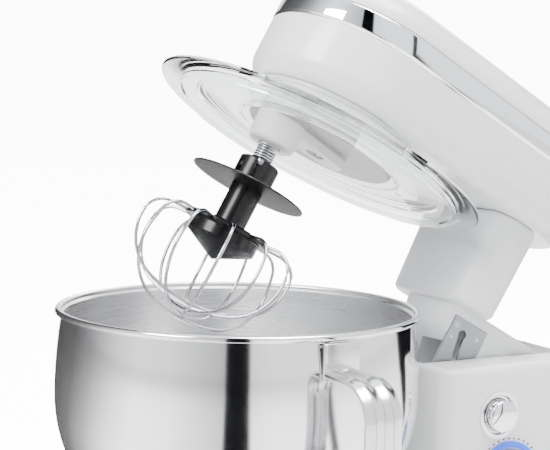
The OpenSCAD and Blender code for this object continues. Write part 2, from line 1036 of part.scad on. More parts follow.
module main_bearings() {
    color(steel)
    on_head()
        for (z = [frame_z - bearing_t, frame_z])
            translate([0, 0, z])
                tube(bearing_r, shaft_main_r + running_gap, bearing_t);
}

module counter_bushes() {
    color([0.8, 0.65, 0.35])
    on_head()
        translate([0, counter_y, frame_z])
            tube(counter_bush_r, counter_r + running_gap, 6);
}

module motor_housing() {
    color([0.5, 0.51, 0.53])
    on_head()
        translate([0, motor_y, motor_low])
            difference() {
                union() {
                    cylinder(r = motor_r, h = motor_h);
                    translate([-motor_r - 10, -8, 0])
                        cube([2 * motor_r + 20, 16, 4]);
                }
                translate([0, 0, 4])
                    cylinder(r = motor_r - 5, h = motor_h - 8);
                translate([0, 0, -1])
                    cylinder(r = 7, h = motor_h + 2);
                for (a = [0 : 60 : 300])
                    rotate([0, 0, a + 30])
                        translate([motor_r - 8, -4, 10])
                            cube([12, 8, motor_h - 20]);
                for (s = [-1, 1])
                    translate([s * (motor_r + 6), 0, -1])
                        cylinder(r = 2, h = 6);
            }
}

module motor_bearings() {
    color(steel)
    on_head()
        for (z = [0, motor_h - 4])
            translate([0, motor_y, motor_low + z])
                tube(7, rotor_r + running_gap, 4);
}

module motor_screws() {
    color(steel)
    on_head()
        for (s = [-1, 1])
            translate([s * (motor_r + 6), motor_y, motor_low + 4])
                screw(r = 2, l = 4, head = 3.4);
}

module neck_screws() {
    color(steel)
    on_head()
        for (p = neck_screw_places())
            translate([p[0], p[1], head_z + wall])
                screw(r = 2, l = 18, head = 3.6);
}

// Flat belt: two arcs and two straight runs around the pulleys
module drive_belt() {
    span = motor_y - counter_y;
    lean = asin((driven_r - pulley_r) / span);
    r1 = driven_r + belt_gap;
    r2 = pulley_r + belt_gap;
    color(black)
    on_head()
        translate([0, counter_y, belt_z + 1])
            linear_extrude(height = belt_h - 2)
                difference() {
                    belt_outline(span, lean, r1 + belt_t, r2 + belt_t);
                    belt_outline(span, lean, r1, r2);
                }
}

module belt_outline(span, lean, r1, r2) {
    circle(r = r1);
    translate([0, span])
        circle(r = r2);
    polygon([
        [r1 * cos(lean), r1 * sin(lean)], [r2 * cos(lean), span + r2 * sin(lean)],
        [-r2 * cos(lean), span + r2 * sin(lean)], [-r1 * cos(lean), r1 * sin(lean)]
    ]);
}

module motor_rotor() {
    color([0.7, 0.45, 0.25])
    on_head()
        translate([0, motor_y, motor_low]) {
            translate([0, 0, 5.5])
                cylinder(r = motor_r - 7, h = motor_h - 11);
            translate([0, 0, 0.5])
                cylinder(r = rotor_r, h = belt_z + belt_h + 5 - motor_low);
        }
}

module pulley(r, bore) {
    difference() {
        union() {
            cylinder(r = r, h = belt_h);
            cylinder(r = r + 2.2, h = 0.8);
        }
        translate([0, 0, -1])
            cylinder(r = bore, h = belt_h + 2);
    }
}

module motor_pulley() {
    color(steel)
    on_head()
        translate([0, motor_y, belt_z])
            pulley(pulley_r, rotor_r);
}

module cooling_fan() {
    color(black)
    on_head()
        translate([0, motor_y, belt_z + belt_h + 0.5]) {
            tube(5, rotor_r, 4);
            for (a = [0 : 45 : 315])
                rotate([0, 0, a])
                    translate([4, -0.7, 0])
                        cube([18, 1.4, 4]);
            tube(24, 21.5, 4);
        }
}

module driven_pulley() {
    color(light_grey)
    on_head()
        translate([0, counter_y, belt_z])
            difference() {
                pulley(driven_r, counter_r);
                for (a = [0 : 60 : 300])
                    rotate([0, 0, a])
                        translate([17, 0, -1])
                            cylinder(r = 5, h = belt_h + 2);
            }
}

module countershaft() {
    color(steel)
    on_head()
        translate([0, counter_y, 0]) {
            translate([0, 0, frame_z])
                cylinder(r = counter_r, h = belt_z + belt_h + 2 - frame_z);
            translate([0, 0, main_gear_z - 0.5])
                linear_extrude(height = gear_t + 1)
                    difference() {
                        gear_2d(pinion_teeth);
                        circle(r = counter_r - 0.5);
                    }
        }
}

module main_shaft() {
    color(steel)
    on_head()
        translate([0, 0, carrier_low + 2])
            cylinder(r = shaft_main_r, h = main_gear_z + gear_t + 2 - carrier_low - 2);
}

module main_gear() {
    color([0.9, 0.9, 0.85])
    on_head()
        translate([0, 0, main_gear_z])
            linear_extrude(height = gear_t)
                difference() {
                    gear_2d(main_teeth);
                    circle(r = shaft_main_r);
                    for (a = [0 : 60 : 300])
                        rotate(a + 30)
                            translate([20, 0])
                                circle(r = 7);
                }
}

// ---------- planetary head ----------

module planet_carrier() {
    rim_t = 2.5;
    color([0.62, 0.63, 0.64])
    on_head()
        difference() {
            union() {
                translate([0, 0, carrier_low])
                    cylinder(r = carrier_r, h = 3);
                translate([0, 0, carrier_low])
                    tube(carrier_r, carrier_r - rim_t, 14);
                translate([0, 0, carrier_low])
                    cylinder(r = 11, h = ring_z + 1 - carrier_low);
                on_whisk()
                    translate([0, 0, carrier_low])
                        cylinder(r = 10, h = ring_z - 0.5 - carrier_low);
            }
            translate([0, 0, carrier_low + 2])
                cylinder(r = shaft_main_r, h = 60);
            translate([0, 0, carrier_low - 1])
                cylinder(r = 2, h = 5);
            on_whisk()
                translate([0, 0, carrier_low - 1])
                    cylinder(r = shaft_r + running_gap, h = 60);
        }
}

// White boss around the whisk's shaft and the arm that ties it to the centre
module carrier_arm() {
    arm_end = 12;
    color([0.92, 0.92, 0.9])
    on_head()
        difference() {
            union() {
                on_whisk()
                    translate([0, 0, boss_low])
                        cylinder(r = arm_r, h = carrier_low - boss_low);
                translate([0, 0, arm_low])
                    linear_extrude(height = carrier_low - arm_low)
                        hull() {
                            rotate(-90 + whisk_turn)
                                translate([orbit_r, 0])
                                    circle(r = arm_r - 2, $fn = 32);
                            rotate(-90 + whisk_turn)
                                translate([-arm_end, 0])
                                    circle(r = 11, $fn = 32);
                        }
            }
            on_whisk()
                translate([0, 0, boss_low - 1])
                    cylinder(r = shaft_r + running_gap, h = 60);
            translate([0, 0, arm_low - 1])
                cylinder(r = 2, h = 20);
            translate([0, 0, arm_low - 1])
                cylinder(r = 6.5, h = 3);
        }
}

module arm_screw() {
    color(steel)
    on_head()
        translate([0, 0, arm_low + 2])
            rotate([180, 0, 0])
                screw(r = 2, l = carrier_low - arm_low - 2 + 2, head = 5, t = 1.8);
}

module output_shaft() {
    color(steel)
    on_head()
        on_whisk()
            difference() {
                translate([0, 0, collar_low + 1])
                    cylinder(r = shaft_r, h = ring_z + ring_t - collar_low - 1);
                translate([-20, 0, pin_z])
                    rotate([0, 90, 0])
                        cylinder(r = pin_r, h = 40);
            }
}

module planet_gear() {
    color(steel)
    on_head()
        on_whisk()
            translate([0, 0, ring_z])
                linear_extrude(height = ring_t)
                    difference() {
                        gear_2d(planet_teeth);
                        circle(r = shaft_r);
                    }
}

module cross_pin() {
    color(steel)
    on_head()
        on_whisk()
            translate([-collar_r + 0.5, 0, pin_z])
                rotate([0, 90, 0])
                    cylinder(r = pin_r, h = 2 * collar_r - 1);
}

module spring_washer() {
    color(steel)
    on_head()
        on_whisk()
            translate([0, 0, boss_low - 1.2])
                tube(8, shaft_r, 0.9);
}

module shaft_spring() {
    color(steel)
    on_head()
        on_whisk()
            translate([0, 0, collar_top])
                coil(6.2, 0.7, boss_low - 1.2 - collar_top, 5, 14, 8);
}

// ---------- whisk ----------

// Stem with the bayonet collar that the cross pin drives
module whisk_stem() {
    bore = shaft_r + 0.3;
    color(black)
    on_head()
        on_whisk()
            difference() {
                union() {
                    translate([0, 0, collar_low])
                        cylinder(r = collar_r, h = collar_top - collar_low);
                    translate([0, 0, hub_z - 1])
                        cylinder(r = stem_r, h = collar_low - hub_z + 1 + eps);
                }
                translate([0, 0, collar_low - whisk_push - 3])
                    cylinder(r = bore, h = 40);
                // slot for the cross pin, long enough for the push-up travel
                translate([-20, -pin_r - 0.3, pin_z - pin_r - whisk_push - 0.5])
                    cube([40, 2 * pin_r + 0.6, 2 * pin_r + whisk_push + 1]);
                // entry notches at the mouth of the bayonet
                rotate([0, 0, 55])
                    translate([-20, -pin_r - 0.4, collar_top - 3.5])
                        cube([40, 2 * pin_r + 0.8, 5]);
            }
}

module splash_disc() {
    color([0.12, 0.12, 0.13])
    on_head()
        on_whisk()
            translate([0, 0, disc_z])
                tube(39, stem_r, 1.2);
}

module whisk_hub() {
    drum_h = 8;
    disc_low = hub_z - 1 - hub_t;
    color(black)
    on_head()
        on_whisk()
            difference() {
                union() {
                    translate([0, 0, disc_low])
                        cylinder(r = hub_r, h = hub_t);
                    translate([0, 0, disc_low - drum_h])
                        cylinder(r = hub_drum_r, h = drum_h);
                    translate([0, 0, disc_low - drum_h - cone_h])
                        cylinder(r1 = 1, r2 = hub_drum_r, h = cone_h);
                }
                for (i = [0 : 2 * whisk_loops - 1])
                    rotate([0, 0, 180 / whisk_loops * i]) {
                        translate([hub_r - 9, -wire_r - 0.3, wire_top - wire_r - 0.3])
                            cube([12, 2 * wire_r + 0.6, 12]);
                    }
            }
}

// Right half of a wire loop from the hub down to the middle of the bottom: x, z.
// A shoulder, a straight run, a tight corner and a flatter bottom, each tangent to the next.
function wire_half(raise) =
    let (
        lean = 12,
        corner_r = 34,
        shoulder_r = 14,
        drop = 3,
        bottom = rim_z - whisk_depth + raise,
        corner_x = whisk_r - corner_r,
        corner_z = bottom + corner_r + drop,
        u = (corner_x * corner_x - drop * drop) / (2 * drop),
        bottom_r = u + corner_r + drop,
        turn = atan2(u, corner_x),
        start_x = corner_x + corner_r * cos(lean),
        start_z = corner_z + corner_r * sin(lean),
        shoulder_z = wire_top - shoulder_r,
        run = (shoulder_z + shoulder_r * sin(lean) - start_z) / cos(lean),
        shoulder_x = start_x - run * sin(lean) - shoulder_r * cos(lean)
    )
    concat(
        [[hub_r - 8, wire_top]],
        arc(shoulder_x, shoulder_z, shoulder_r, 90, lean, 5),
        arc(corner_x, corner_z, corner_r, lean, -turn, 8),
        [for (i = [1 : 4]) let (t = -turn - (90 - turn) * i / 4)
            [bottom_r * cos(t), bottom + bottom_r + bottom_r * sin(t)]]
    );

// Round wire along a path in the xz plane, as one closed tube
module wire_tube(path, r, sides = 6) {
    n = len(path) - 1;
    ring = [for (i = [0 : n])
        let (
            d = path[min(i + 1, n)] - path[max(i - 1, 0)],
            side = [-d[1], d[0]] / norm(d)
        )
        for (k = [0 : sides - 1])
            let (b = 360 * (k + 0.5) / sides, q = path[i] + r * cos(b) * side)
            [q[0], r * sin(b), q[1]]];
    faces = concat(
        [[for (k = [0 : sides - 1]) k]],
        [for (i = [0 : n - 1], k = [0 : sides - 1])
            let (k2 = (k + 1) % sides, p = i * sides)
            [p + k, p + sides + k, p + sides + k2, p + k2]],
        [[for (k = [sides - 1 : -1 : 0]) n * sides + k]]
    );
    polyhedron(points = ring, faces = faces);
}

module whisk_wires() {
    color(steel)
    on_head()
        on_whisk()
            for (i = [0 : whisk_loops - 1]) {
                half = wire_half(i * (2 * wire_r + 0.1));
                back = [for (k = [len(half) - 2 : -1 : 0]) [-half[k][0], half[k][1]]];
                rotate([0, 0, 180 / whisk_loops * i])
                    wire_tube(concat(half, back), wire_r);
            }
}

// ---------- bowl ----------

function belly_x(h) = (bowl_r - 0.2) * sqrt(1 - pow((belly_h - h) / belly_drop, 2));
function upper_x(h) = bowl_r - 0.2 - neck_in * pow((h - belly_h) / (bowl_h - 4 - belly_h), 2);

// Outer side of the bowl from its floor to the neck, shrunk by t for the inside
function bowl_side(t) = concat(
    [for (i = [0 : 14]) let (h = belly_h * i / 14) [belly_x(h) - t, h + (i == 0 ? t : 0)]],
    [for (i = [1 : 6]) let (h = belly_h + (bowl_h - 4 - belly_h) * i / 6) [upper_x(h) - t, h]]
);

module bowl() {
    side = bowl_side(0);
    inner = bowl_side(bowl_wall);
    top = len(side) - 1;
    lip = bowl_r - rim_bead;
    color(steel)
        translate([0, 0, bowl_z]) {
            rotate_extrude()
                polygon(concat([[0, 0]], side, [[lip + 1, bowl_h - 3], [lip, bowl_h - 1.5],
                    [inner[top][0], bowl_h - 4]],
                    [for (i = [top - 1 : -1 : 0]) inner[i]], [[0, bowl_wall]]));
            rotate_extrude()
                translate([bowl_r - rim_bead, bowl_h - rim_bead])
                    circle(r = rim_bead, $fn = 24);
            bowl_foot_ring();
        }
}

// Welded ring with three lugs under the bowl, down inside the seat
module bowl_foot_ring() {
    drop = bowl_z - (platform_h - seat_h + 2) - 0.2;
    translate([0, 0, -drop])
        tube(foot_ring_r, foot_ring_r - 2, drop + 1);
    for (i = [0 : lugs - 1])
        rotate([0, 0, 360 / lugs * i])
            rotate_extrude(angle = lug_angle)
                translate([foot_ring_r - 1, -drop])
                    square([lug_out + 1, lug_t]);
}

// Strap handle: a plate welded under the rim and a flat strap bent from it in a
// bow, out, down and back in to the belly
module bowl_handle() {
    plate_r = upper_x(plate_z0 - bowl_z) + 0.2;
    out = bowl_r + strap_out;
    top = plate_z0 + 6;
    color(steel)
        rotate([0, 0, handle_turn])
            difference() {
                union() {
                    intersection() {
                        translate([0, 0, plate_z0])
                            tube(plate_r + 2.6, plate_r, plate_h);
                        translate([plate_r - 20, -handle_w / 2 - 1, plate_z0 - 1])
                            cube([60, handle_w + 2, plate_h + 2]);
                    }
                    translate([0, handle_w / 2, 0])
                        rotate([90, 0, 0])
                            linear_extrude(height = handle_w)
                                difference() {
                                    strap_fill(top, out, strap_bend, strap_low);
                                    strap_fill(top - handle_t, out - handle_t,
                                        strap_bend - handle_t, strap_low + handle_t);
                                }
                }
                // the bowl's own outside, so both ends sit on it
                translate([0, 0, bowl_z])
                    rotate_extrude()
                        polygon(concat([[0, 0]], bowl_side(-0.2), [[0, bowl_h - 4]]));
                // groove down the middle of the strap
                translate([out - 1.2, -3, strap_low + strap_bend])
                    cube([4, 6, top - strap_low - 2 * strap_bend]);
            }
}

// The strap's outer outline seen from the side, with round outer corners
module strap_fill(top, out, r, low) {
    translate([bowl_r - 30, low])
        square([out - r - bowl_r + 30, top - low]);
    translate([out - r, low + r])
        square([r, top - low - 2 * r]);
    for (z = [low + r, top - r])
        translate([out - r, z])
            circle(r = r);
}

// ---------- splash guard ----------

module splash_guard() {
    skirt_r = 101.5;
    skirt_h = 4.5;
    rib_r = 88;
    rib_h = 3;
    collar_in = mount_ring_r + mount_ring_t + 0.3;
    collar_t = 2.6;
    collar_h = head_z - 3 - guard_z;
    slot_z = head_z - guard_ring_h + 1.7;
    top = guard_z + guard_t;
    color([0.85, 0.9, 0.93, 0.35])
    on_head()
        difference() {
            union() {
                // flange, skirt inside the bowl's rim, step and collar in one section
                rotate_extrude()
                    polygon([
                        [collar_in, guard_z], [skirt_r - guard_t, guard_z],
                        [skirt_r - guard_t, guard_z - skirt_h], [skirt_r, guard_z - skirt_h],
                        [skirt_r, guard_z], [guard_r, guard_z], [guard_r, top],
                        [rib_r + guard_t, top], [rib_r + guard_t, top + rib_h], [rib_r, top + rib_h],
                        [rib_r, top], [collar_in + collar_t, top],
                        [collar_in + collar_t, guard_z + collar_h], [collar_in, guard_z + collar_h]
                    ]);
                // small pegs to twist it by
                for (i = [0 : 2])
                    rotate([0, 0, 120 * i + 75])
                        translate([collar_in + collar_t + 5, 0, guard_z + 1])
                            cylinder(r = 2.5, h = 9);
            }
            // bayonet slots: down from the top, then round
            for (i = [0 : 2])
                rotate([0, 0, 120 * i + 29]) {
                    translate([0, 0, slot_z])
                        rotate_extrude(angle = guard_lug + guard_twist + 3)
                            translate([collar_in - 1, 0])
                                square([collar_t + 2, 2.6]);
                    translate([0, 0, slot_z + 1])
                        rotate([0, 0, guard_twist])
                            rotate_extrude(angle = guard_lug + 2)
                            translate([collar_in - 1, 0])
                                square([collar_t + 2, 30]);
                }
        }
}

base_housing();
bottom_cover();
rubber_feet();
bottom_screws();
bowl_seat();
seat_screws();
dial_light_ring();
dial_tick_ring();
button_bezel();
speed_switch();
circuit_board();
board_screws();
hinge_pin();
hinge_pin_clips();
cord_inlet();
head_bumper();
speed_dial();
release_button();
latch_plate();
button_spring();
head_shell();
chrome_band();
top_cover();
neck();
hinge_bushes();
lock_plate();
lock_plate_screws();
lock_plate_rivets();
gearbox_frame();
ring_gear();
guard_mount_ring();
main_bearings();
counter_bushes();
motor_housing();
motor_bearings();
motor_screws();
drive_belt();
neck_screws();
motor_rotor();
motor_pulley();
cooling_fan();
driven_pulley();
countershaft();
main_shaft();
main_gear();
planet_carrier();
carrier_arm();
arm_screw();
output_shaft();
planet_gear();
cross_pin();
spring_washer();
shaft_spring();
whisk_stem();
splash_disc();
whisk_hub();
whisk_wires();
bowl();
bowl_handle();
splash_guard();
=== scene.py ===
# %% [markdown]
# # Dressing a stand mixer
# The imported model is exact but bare: every part has the right shape and place, and
# none has a finish. In this lesson each part that shows is modelled again with the
# everyday tools (trace, spin, extrude, bevel, boolean) over the exact one, and every
# part gets a finish made only from procedural textures.
#
# The frame is in metres: +Z is up, the nose of the head points to -Y and the dial
# and button are on the +X side.

# %% Load the frame
import json
import math
import bpy
from mathutils import Matrix, Vector


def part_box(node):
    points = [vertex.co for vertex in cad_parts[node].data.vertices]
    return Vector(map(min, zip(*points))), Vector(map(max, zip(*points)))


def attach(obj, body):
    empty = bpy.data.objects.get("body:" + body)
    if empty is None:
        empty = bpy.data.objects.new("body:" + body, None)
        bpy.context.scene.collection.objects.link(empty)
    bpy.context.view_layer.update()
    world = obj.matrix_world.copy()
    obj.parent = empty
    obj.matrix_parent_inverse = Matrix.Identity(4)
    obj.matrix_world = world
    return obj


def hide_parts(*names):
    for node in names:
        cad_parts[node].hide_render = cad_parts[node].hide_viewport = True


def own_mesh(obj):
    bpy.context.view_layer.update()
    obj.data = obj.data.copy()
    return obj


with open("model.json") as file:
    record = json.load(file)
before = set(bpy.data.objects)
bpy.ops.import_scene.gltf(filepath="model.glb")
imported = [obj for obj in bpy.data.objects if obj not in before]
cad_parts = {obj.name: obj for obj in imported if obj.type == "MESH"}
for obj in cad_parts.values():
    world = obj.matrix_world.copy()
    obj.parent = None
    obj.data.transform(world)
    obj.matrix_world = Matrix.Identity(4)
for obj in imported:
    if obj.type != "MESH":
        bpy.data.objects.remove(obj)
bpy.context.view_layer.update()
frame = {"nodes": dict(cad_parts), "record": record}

MM = 0.001
nodes = frame["nodes"]
joints = {j["name"]: j for j in frame["record"]["behaviour"]["joints"]}
print("parts in the frame:", len(nodes))

# %% [markdown]
# ## Where things are
# The head is stored raised. Its parts are easiest to model on a level head, and are
# then tipped open about the hinge. The hinge, its angle and all sizes are read from
# the frame, so the dressing always fits the part that it covers.

# %% Measure the frame
hinge = Vector(joints["head_tilt"]["pos_m"])
tilt = math.radians(joints["head_tilt"]["range_deg"][1])
tip_open = (Matrix.Translation(hinge) @ Matrix.Rotation(-tilt, 4, "X")
            @ Matrix.Translation(-hinge))


def level_box(name):
    """Lowest and highest corner of a head part, with the head laid level."""
    back = tip_open.inverted()
    spots = [back @ v.co for v in nodes[name].data.vertices]
    low = Vector([min(s[i] for s in spots) for i in range(3)])
    high = Vector([max(s[i] for s in spots) for i in range(3)])
    return low, high


def middle(box):
    return (box[0] + box[1]) / 2


bowl_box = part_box("bowl")
rim_z = bowl_box[1].z
bowl_r = bowl_box[1].x
shell_box = level_box("head_shell")
head_r = shell_box[1].x
head_len = shell_box[1].y - head_r
band_box = level_box("chrome_band")
cover_box = level_box("top_cover")
guard_box = level_box("splash_guard")
collar_box = level_box("whisk_stem")
whisk_axis = middle(level_box("splash_disc")).to_2d()
print("bowl rim radius", round(bowl_r * 1000), "mm; head", round(2 * head_r * 1000), "mm wide")

# %% [markdown]
# ## Workshop tools
# `trace` draws a line of points by extruding one vertex again and again, as with the
# E key. `lathe` spins such a line round the Z axis. `prism` fills a closed line and
# pulls it up. `soften` rounds the sharp edges. `place` lays a finished piece on its
# CAD body and hides the bare nodes that it stands for.

# %% Small helpers
def deselect():
    if bpy.context.object and bpy.context.object.mode != "OBJECT":
        bpy.ops.object.mode_set(mode="OBJECT")
    bpy.ops.object.select_all(action="DESELECT")


def only(obj):
    deselect()
    obj.select_set(True)
    bpy.context.view_layer.objects.active = obj


def edit(obj):
    """Edit mode with every vertex selected."""
    only(obj)
    bpy.ops.object.mode_set(mode="EDIT")
    bpy.ops.mesh.select_mode(type="VERT")
    bpy.ops.mesh.select_all(action="SELECT")


def pull(delta):
    """Extrudes the selection."""
    bpy.ops.mesh.extrude_region_move(TRANSFORM_OT_translate={"value": delta})


def pick(obj, test):
    """Selects in edit mode the vertices whose place passes the test."""
    edit(obj)
    bpy.ops.mesh.select_all(action="DESELECT")
    bpy.ops.object.mode_set(mode="OBJECT")
    for v in obj.data.vertices:
        v.select = bool(test(v.co))
    bpy.ops.object.mode_set(mode="EDIT")


def done():
    bpy.ops.object.mode_set(mode="OBJECT")


def trace(name, points, closed=False):
    """A line of edges through the points, extruded one vertex at a time."""
    deselect()
    bpy.ops.mesh.primitive_plane_add(size=0.01, location=(0, 0, 0))
    obj = bpy.context.object
    obj.name = name
    bpy.ops.object.mode_set(mode="EDIT")
    bpy.ops.mesh.select_mode(type="VERT")
    bpy.ops.mesh.select_all(action="SELECT")
    bpy.ops.mesh.merge(type="CENTER")
    spots = [Vector(p) for p in points]
    bpy.ops.transform.translate(value=spots[0])
    for a, b in zip(spots, spots[1:]):
        bpy.ops.mesh.extrude_vertices_move(TRANSFORM_OT_translate={"value": b - a})
    bpy.ops.mesh.select_all(action="SELECT")
    if closed:
        bpy.ops.mesh.edge_face_add()
    done()
    return obj


def clean(obj):
    """Joins double vertices and turns every face outwards."""
    edit(obj)
    bpy.ops.mesh.remove_doubles(threshold=1e-6)
    bpy.ops.mesh.normals_make_consistent(inside=False)
    done()


def lathe(name, profile, steps=96, axis_xy=(0, 0)):
    """Spins a closed profile of (radius, height) pairs round an upright axis."""
    turn = math.pi / steps
    ring = [(r * math.cos(turn), r * math.sin(turn), z) for r, z in profile]
    obj = trace(name, ring + ring[:1])
    edit(obj)
    bpy.ops.mesh.spin(steps=steps, angle=2 * math.pi, center=(0, 0, 0), axis=(0, 0, 1))
    bpy.ops.mesh.select_all(action="SELECT")
    bpy.ops.mesh.remove_doubles(threshold=2e-6)
    bpy.ops.mesh.dissolve_degenerate(threshold=1e-7)
    bpy.ops.mesh.normals_make_consistent(inside=False)
    bpy.ops.transform.translate(value=(axis_xy[0], axis_xy[1], 0))
    done()
    return obj


def prism(name, outline, low, high):
    """Fills an outline of (x, y) pairs and pulls it up from low to high."""
    obj = trace(name, [(x, y, low) for x, y in outline], closed=True)
    edit(obj)
    pull((0, 0, high - low))
    done()
    clean(obj)
    return obj


def block(name, low, high):
    """A box between two corners."""
    outline = [(low[0], low[1]), (high[0], low[1]), (high[0], high[1]), (low[0], high[1])]
    return prism(name, outline, low[2], high[2])


def apply_all(obj):
    only(obj)
    for m in list(obj.modifiers):
        bpy.ops.object.modifier_apply(modifier=m.name)


def soften(obj, width, segments=3, angle=30):
    """Rounds every edge sharper than the angle, then shades it smooth."""
    m = obj.modifiers.new("soft edges", "BEVEL")
    m.width = width
    m.segments = segments
    m.limit_method = "ANGLE"
    m.angle_limit = math.radians(angle)
    m.harden_normals = False
    apply_all(obj)
    smooth(obj)


def smooth(obj, angle=35):
    only(obj)
    bpy.ops.object.shade_smooth_by_angle(angle=math.radians(angle))


def cut(obj, tool, operation="DIFFERENCE"):
    """Takes the tool's shape out of obj (or joins it on) and throws the tool away."""
    m = obj.modifiers.new("cut", "BOOLEAN")
    m.object = tool
    m.operation = operation
    m.solver = "EXACT"
    apply_all(obj)
    bpy.data.objects.remove(tool)


def move(obj, matrix):
    """Moves the shape itself, so that the object stays at the origin."""
    only(obj)
    obj.matrix_world = matrix
    bpy.ops.object.transform_apply(location=True, rotation=True, scale=True)


def copy(obj, name, matrix):
    """A copy with a mesh of its own."""
    only(obj)
    bpy.ops.object.duplicate(linked=False)
    new = bpy.context.object
    new.name = name
    move(new, matrix)
    return new


def place(obj, material, body, *stands_for, on_head=False):
    """Tips a head piece open, gives it its finish and sets it on its body."""
    if on_head:
        move(obj, tip_open)
    obj.data.materials.clear()
    obj.data.materials.append(material)
    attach(obj, body)
    if stands_for:
        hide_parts(*stands_for)
    print("made", obj.name, len(obj.data.polygons), "faces")


def arc(cx, cy, r, a, b, n=8):
    """Points on an arc, angles in degrees."""
    turns = [math.radians(a + (b - a) * i / n) for i in range(n + 1)]
    return [(cx + r * math.cos(t), cy + r * math.sin(t)) for t in turns]


def rounded_box(low, high, r, n=8):
    """Outline of a rectangle with round corners, from its low and high corner."""
    return (arc(high[0] - r, high[1] - r, r, 0, 90, n) + arc(low[0] + r, high[1] - r, r, 90, 180, n)
            + arc(low[0] + r, low[1] + r, r, 180, 270, n) + arc(high[0] - r, low[1] + r, r, 270, 360, n))


# %% [markdown]
# ## Finishes
# One shared node group gives every finish its life: fine grain for the bump, broad
# patches for the roughness and tint, and a mask that is strong on worn, outer edges.
# Each finish then mixes these in its own measure.

# %% Node tools
def node(tree, kind, **settings):
    """A new shader node of this kind, with its settings."""
    made = tree.nodes.new("ShaderNode" + kind)
    for key, value in settings.items():
        setattr(made, key, value)
    return made


def feed(tree, socket, source):
    """Links an input to another node's output, or sets it to a plain value."""
    if isinstance(source, bpy.types.NodeSocket):
        tree.links.new(source, socket)
    else:
        socket.default_value = source


def calculate(tree, operation, *sources, clamp=False):
    """The output of a Math node that is fed by these sources in turn."""
    made = node(tree, "Math", operation=operation, use_clamp=clamp)
    for socket, source in zip(made.inputs, sources):
        feed(tree, socket, source)
    return made.outputs[0]


def noise(tree, vector, scale, detail):
    made = node(tree, "TexNoise")
    for name, source in (("Vector", vector), ("Scale", scale), ("Detail", detail)):
        feed(tree, made.inputs[name], source)
    return made.outputs["Fac"]


def mix(tree, share, a, b):
    """A colour between a and b."""
    made = node(tree, "Mix", data_type="RGBA")
    for name, source in (("Factor", share), ("A", a), ("B", b)):
        feed(tree, made.inputs[name], source)
    return made.outputs["Result"]


def stretched(tree, scale):
    """The object's own coordinates, scaled by another measure on each axis."""
    made = node(tree, "Mapping")
    feed(tree, made.inputs["Scale"], scale)
    feed(tree, made.inputs["Vector"], node(tree, "TexCoord").outputs["Object"])
    return made.outputs["Vector"]


def shader_inputs(material):
    return material.node_tree.nodes["Principled BSDF"].inputs


def add_bump(material, height, strength, depth):
    """Raises the surface by a height socket, in place of any bump it had."""
    tree = material.node_tree
    made = node(tree, "Bump")
    for name, source in (("Strength", strength), ("Distance", depth), ("Height", height)):
        feed(tree, made.inputs[name], source)
    feed(tree, shader_inputs(material)["Normal"], made.outputs["Normal"])


# %% The shared surface group
def surface_group():
    g = bpy.data.node_groups.new("surface life", "ShaderNodeTree")
    for name, value in (("Grain Scale", 900.0), ("Patch Scale", 18.0), ("Roughness", 0.3), ("Spread", 0.1)):
        g.interface.new_socket(name, in_out="INPUT", socket_type="NodeSocketFloat").default_value = value
    for name in ("Roughness", "Height", "Patch", "Edge"):
        g.interface.new_socket(name, in_out="OUTPUT", socket_type="NodeSocketFloat")
    into, out = g.nodes.new("NodeGroupInput"), g.nodes.new("NodeGroupOutput")
    spot = node(g, "TexCoord").outputs["Object"]
    grain = noise(g, spot, into.outputs["Grain Scale"], 3)
    patch = noise(g, spot, into.outputs["Patch Scale"], 5)
    uneven = calculate(g, "SUBTRACT", patch, 0.5)
    rough = calculate(g, "MULTIPLY_ADD", uneven, into.outputs["Spread"], into.outputs["Roughness"], clamp=True)
    edge = node(g, "MapRange")
    edge.inputs["From Min"].default_value = 0.52
    edge.inputs["From Max"].default_value = 0.62
    feed(g, edge.inputs["Value"], node(g, "NewGeometry").outputs["Pointiness"])
    worn = edge.outputs["Result"]
    for name, source in (("Roughness", rough), ("Height", grain), ("Patch", patch), ("Edge", worn)):
        feed(g, out.inputs[name], source)
    return g


life = surface_group()


def surface(tree, grain, patches, roughness, spread):
    """The outputs of the shared group, with its four measures set."""
    group = node(tree, "Group", node_tree=life)
    measures = {"Grain Scale": grain, "Patch Scale": patches, "Roughness": roughness, "Spread": spread}
    for name, value in measures.items():
        group.inputs[name].default_value = value
    return group.outputs


def finish(name, color, worn, roughness, spread=0.12, metallic=0.0, grain=900.0, patches=18.0,
           bump=0.05, depth=0.0002, coat=0.0, edge_share=0.3):
    """A material with tinted patches, uneven gloss, fine grain and lighter edges."""
    m = bpy.data.materials.new(name)
    m.use_nodes = True
    tree, shader = m.node_tree, shader_inputs(m)
    shader["Metallic"].default_value = metallic
    shader["Coat Weight"].default_value = coat
    shader["Coat Roughness"].default_value = 0.04
    given = surface(tree, grain, patches, roughness, spread)
    shade = [c * 0.94 for c in color]
    tint = mix(tree, given["Patch"], (*shade, 1), (*color, 1))
    wear = calculate(tree, "MULTIPLY", given["Edge"], edge_share)
    feed(tree, shader["Base Color"], mix(tree, wear, tint, (*worn, 1)))
    feed(tree, shader["Roughness"], given["Roughness"])
    add_bump(m, given["Height"], bump, depth)
    return m


def brush(material, stretch, scale=400.0, strength=0.25, depth=0.00008, spread=0.2):
    """Adds brushing: noise drawn out along one direction feeds bump and roughness."""
    tree, shader = material.node_tree, shader_inputs(material)
    lines = noise(tree, stretched(tree, stretch), scale, 6)
    add_bump(material, lines, strength, depth)
    plain = shader["Roughness"].links[0].from_socket
    feed(tree, shader["Roughness"], calculate(tree, "MULTIPLY_ADD", lines, spread, plain, clamp=True))
    return material


